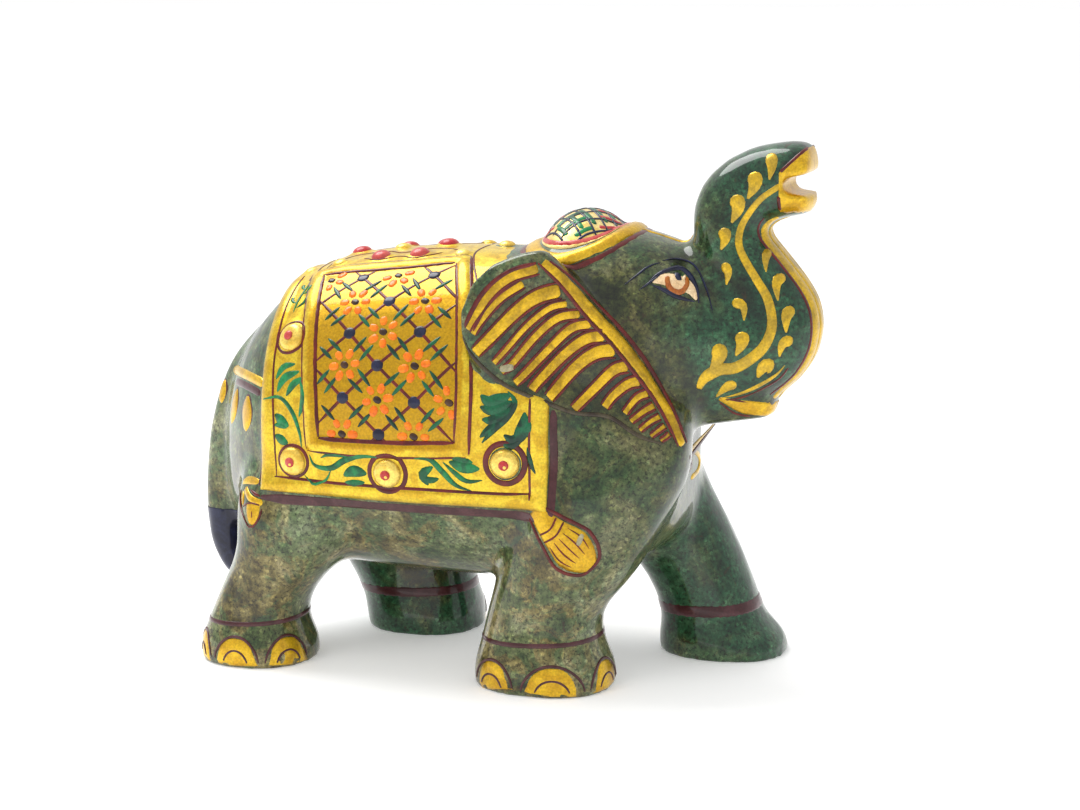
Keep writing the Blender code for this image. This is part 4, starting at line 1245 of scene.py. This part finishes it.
lip = [(traced(on_flank, [(27.0, 35.0), (29.0, 34.0), (31.0, 33.5), (33.5, 33.0)]), 1.1, "lip")]
lip_front = [(np.array([on_front(y, 32.9) for y in np.linspace(-3.0, 3.0, 12)]), 0.6, "line")]
coat("lip_gilding", both_sides(lip) + lip_front, stone_skin, "gilding", bright_gold, 0.10)
over_lip = [brushed(0.34, "leaf", (722, 398), (742, 393), (760, 385), (776, 375), (786, 364))]
coat("mouth_gold_edge", both_sides(over_lip), stone_skin, "gilding", trunk_gold, 0.09)
corner = [
    (traced(on_flank, [(27.0, 35.0), (29.0, 34.5), (31.5, 34.0)]), 0.26, "leaf"),
    brushed(0.16, "line", (722, 401), (743, 397), (762, 389), (779, 379), (789, 367)),
    (traced(on_flank, [(27.0, 34.5), (28.5, 33.0), (30.5, 32.5)]), 0.14, "line"),
]
coat("mouth_lines", both_sides(corner), stone_skin, "maroon", maroon, 0.08)


# The feet. Gold nails painted round the outer side of each, every one under a maroon arch and with a second
# arch inside it, and a maroon band round the ankle.

RIGHT, LEFT = -1, 1
FEET = [  # side, middle forward, height and half width of the ankle band, and each nail's turn and half width
    (RIGHT, 7.3, 6.1, 0.34, ((-36, 24), (22, 30), (78, 24))),
    (RIGHT, -30.2, 5.4, 0.34, ((-52, 21), (-3, 26), (52, 26))),
    (LEFT, 24.4, 6.2, 0.85, ((-52, 20), (-8, 20), (36, 20))),
    (LEFT, -15.4, 5.6, 0.70, ((-48, 20), (0, 22), (48, 20))),
]
ARCHES = ((1.0, 3.9, 0.20), (0.55, 2.2, 0.17))  # share of the nail's width, rise and half width
nails, arches, bands = [], [], []
for side, middle, band_height, band_half, places in FEET:

    def on_foot(turn, up):
        """The foot's side in a direction, in degrees from straight outwards towards the front."""
        way = Vector((math.sin(math.radians(turn)), side * math.cos(math.radians(turn)), 0))
        start = Vector((middle, side * 10.3, up))
        found = stone_skin.ray_cast(start + way * 4.0, way)[0]
        return np.array(found or start + way * 8)

    for turn, wide in places:
        nails.append((traced(on_foot, [(turn, 0.0), (turn, 1.9), (turn, 3.8)], 0.35), wide * 0.14, "nail"))
        for share, rise, half in ARCHES:
            bends = np.linspace(0.02, math.pi - 0.02, 9)
            marks = [(turn + share * (wide - 1.0) * math.cos(a), rise * math.sin(a)) for a in bends]
            arches.append((np.array([on_foot(*mark) for mark in brushed_line(marks, 1.6)]), half, "line"))
    ring_turns = np.linspace(0, 360, 41)
    ring = [on_foot(turn, band_height + 0.3 * math.sin(math.radians(turn))) for turn in ring_turns]
    bands.append((np.array(ring), band_half, "ring"))
coat("toenails", nails, stone_skin, "gilding", bright_gold, 0.09)
coat("toenail_arches", arches, stone_skin, "maroon", shadow_paint, 0.14)
coat("ankle_bands", bands, stone_skin, "maroon", shadow_paint, 0.07)


# The tassels. Low almond swellings below the cloth's lower corners, gilded and drawn over in maroon like a
# tassel with its knot, neck and threads.


def tassel(crown, foot, half, threads):
    """Gold and lines of one tassel: a shell from its crown to its foot."""
    crown, foot = np.array(crown), np.array(foot)
    down = foot - crown
    long = np.linalg.norm(down)
    down /= long
    across = np.array([-down[1], down[0]])

    def mark(t, s):
        wide = float(swelling("shell", np.clip([t], 0.02, 0.99))[0])
        return tuple(crown + down * long * t + across * s * half * wide)

    gold = (traced(on_flank, [mark(0, 0), mark(0.5, 0), mark(1, 0)], 0.4), half, "shell")
    steps = np.linspace(0.02, 0.97, 10)
    outline = [mark(t, 1.04) for t in steps] + [mark(t, -1.04) for t in steps[::-1]]
    lines = [(traced(on_flank, outline), 0.26, "line")]
    for t in (0.27, 0.37):
        lines.append((traced(on_flank, [mark(t, -0.9), mark(t + 0.05, 0), mark(t, 0.9)]), 0.17, "line"))
    for s in np.linspace(-0.66, 0.66, threads):
        lines.append((traced(on_flank, [mark(0.43, s), mark(0.64, s), mark(0.84, s * 0.9)]), 0.13, "leaf"))
    return gold, lines


FRONT_CROWN, FRONT_FOOT, FRONT_HALF = (7.6, 22.6), (15.0, 16.0), 3.0  # the front tassel, forward and up
gold, threads = tassel(FRONT_CROWN, FRONT_FOOT, FRONT_HALF, 5)
knot = [  # the rear tassel: a curl, a crossing band, a side fold and a pointed end
    brushed(0.60, "dot", (242, 483), (248, 480), (260, 482), gap=0.3),
    brushed(0.50, "line", (245, 487), (250, 498), (263, 504), gap=0.3),
    brushed(0.50, "leaf", (243, 490), (243, 506), gap=0.3),
    brushed(1.35, "nail", (252, 501), (252, 512), (252, 526), gap=0.3),
]
threads += [
    brushed(0.26, "leaf", (250, 489), (254, 493), (261, 497)),
    brushed(0.15, "line", (241, 488), (241, 506), (247, 524), (252, 527), (259, 518), (262, 508)),
    brushed(0.14, "line", (242, 507), (250, 503), (262, 506)),
    brushed(0.10, "leaf", (252, 510), (252, 519)),
]
coat("tassel_gilding", both_sides([gold] + knot), stone_skin, "gilding", bright_gold, 0.10)
coat("tassel_lines", both_sides(threads), stone_skin, "maroon", maroon, 0.15)


# The chips. Two small knocks on the right side that went through the paint to pale stone: one near the
# ear's lower rim, one on the front tassel.

pale_stone = enamel("pale_bruised_stone", (0.46, 0.42, 0.27), (0.30, 0.27, 0.15), 0.9)
chips = [dabbed((507, 368), 0.62, 1.7, 0.15), dabbed((580, 540), 0.42, 2.2, 1.2)]
coat("bare_chips", chips, stone_skin, "stone", pale_stone, 0.22)


# The tail and the tie. A gold cord crosses the rump from the cloth to the tail, with long drops hanging
# from it on a maroon shadow, and the tuft at the tail's end is painted black.

TAIL_TUFT = [
    ((-38.0, 0, 16.3), (0, 0, -1)), ((-38.0, 0, 7.8), (0, 0, 1)), ((-35.9, 0, 12), (-1, 0, 0)),
    ((0, -4.2, 0), (0, 1, 0)), ((0, 4.2, 0), (0, -1, 0)),
]
gilt_shell("tail_tuft", TAIL_TUFT, blue_black, 0.06)
cord = [brushed(0.68, "line", (233, 368), (241, 372), (253, 378), (264, 384))]
drops = [
    brushed(1.1, "leaf", (225, 378), (223, 390), (221, 404)),
    brushed(1.5, "leaf", (238, 387), (235, 404), (231, 424)),
    brushed(1.7, "leaf", (248, 394), (247, 412), (245, 432)),
]
coat("rump_tie_gold", both_sides(cord + drops), stone_skin, "gilding", bright_gold, 0.16)
shades = [brushed(0.55, "line", (234, 380), (245, 385), (256, 391), (261, 394))]
shades += [(line + np.array([0, 0, 0.2]), half + 0.28, shape) for line, half, shape in drops]
coat("rump_tie_shadow", both_sides(shades), stone_skin, "maroon", shadow_paint, 0.05)


# The breast drop. A small gold loop painted at each side of the throat, below the ear's point, with a dark
# dab inside it as painted shade for the loop's hollow.

loop = [brushed(0.42, "line", (690, 447), (699, 456), (698, 470), (690, 479))]
coat("breast_loop", both_sides(loop), stone_skin, "gilding", trunk_gold, 0.14)
# the dark inside the loop: painted shade, not a carved hollow
loop_shade_dab = [brushed(0.5, "dot", (689, 455), (692, 463), (689, 471))]
coat("breast_loop_painted_shade", both_sides(loop_shade_dab), stone_skin, "maroon", shadow_paint, 0.05)


# The studio. A plain pale sheet under the carving in a bright even room, a soft light above it, and a wider
# and fainter one to the camera's left, which the lacquer doesn't mirror.

bpy.ops.object.select_all(action="DESELECT")
bpy.ops.mesh.primitive_grid_add(x_subdivisions=4, y_subdivisions=4, size=8.0, location=(0, 0, 0))
floor = bpy.context.object
floor.name = "studio_floor"
paper, shader, link = paint_material("pale_paper")
coords = node_in(paper, "ShaderNodeTexCoord").outputs["Object"]
fibres = ramp_in(paper, (0.3, 0.86), (0.7, 0.90))
link(noise_in(paper, coords, 900.0, 3.0), fibres.inputs[0])
link(fibres.outputs[0], shader.inputs["Base Color"])
shader.inputs["Roughness"].default_value = 0.7
shader.inputs["Emission Color"].default_value = (1.0, 1.0, 1.0, 1)
shader.inputs["Emission Strength"].default_value = 0.27
floor.data.materials.append(paper)

world = bpy.data.worlds.new("bright_room")
bpy.context.scene.world = world
world.use_nodes = True
sky = world.node_tree.nodes["Background"]
sky.inputs["Color"].default_value = (1.0, 1.0, 1.0, 1)
seen = world.node_tree.nodes.new("ShaderNodeLightPath")
glow = world.node_tree.nodes.new("ShaderNodeMapRange")
glow.inputs["To Min"].default_value, glow.inputs["To Max"].default_value = 0.84, 1.0
world.node_tree.links.new(seen.outputs["Is Camera Ray"], glow.inputs["Value"])
world.node_tree.links.new(glow.outputs[0], sky.inputs["Strength"])


def soft_light(name, place, aim, size, power, mirrored=True):
    lamp = bpy.data.lights.new(name, "AREA")
    lamp.shape, lamp.size, lamp.energy = "DISK", size, power
    stand = bpy.data.objects.new(name, lamp)
    bpy.context.scene.collection.objects.link(stand)
    stand.location = place
    stand.rotation_euler = (Vector(aim) - Vector(place)).to_track_quat("-Z", "Y").to_euler()
    stand.visible_glossy = mirrored


soft_light("overhead_softbox", (-0.16, 0.06, 0.34), (0, 0, 0.04), 0.26, 1.1)
soft_light("camera_side_softbox", (-0.30, -0.60, 0.50), (0, 0, 0.03), 0.50, 1.6, mirrored=False)

camera_data = bpy.data.cameras.new("camera")
camera_data.sensor_width = 36.0
camera_data.lens = 81.0
camera_data.shift_x = 25 / 1080
camera_data.shift_y = -19 / 1080
camera_data.clip_start, camera_data.clip_end = 0.01, 20.0
camera = bpy.data.objects.new("camera", camera_data)
bpy.context.scene.collection.objects.link(camera)
camera.location = (VIEW_MIDDLE + SET_DOWN + VIEW_BACK * VIEW_DISTANCE) / 1000
camera.rotation_euler = (-VIEW_BACK).to_track_quat("-Z", "Y").to_euler()
bpy.context.scene.camera = camera
bpy.context.scene.view_settings.view_transform = "Standard"
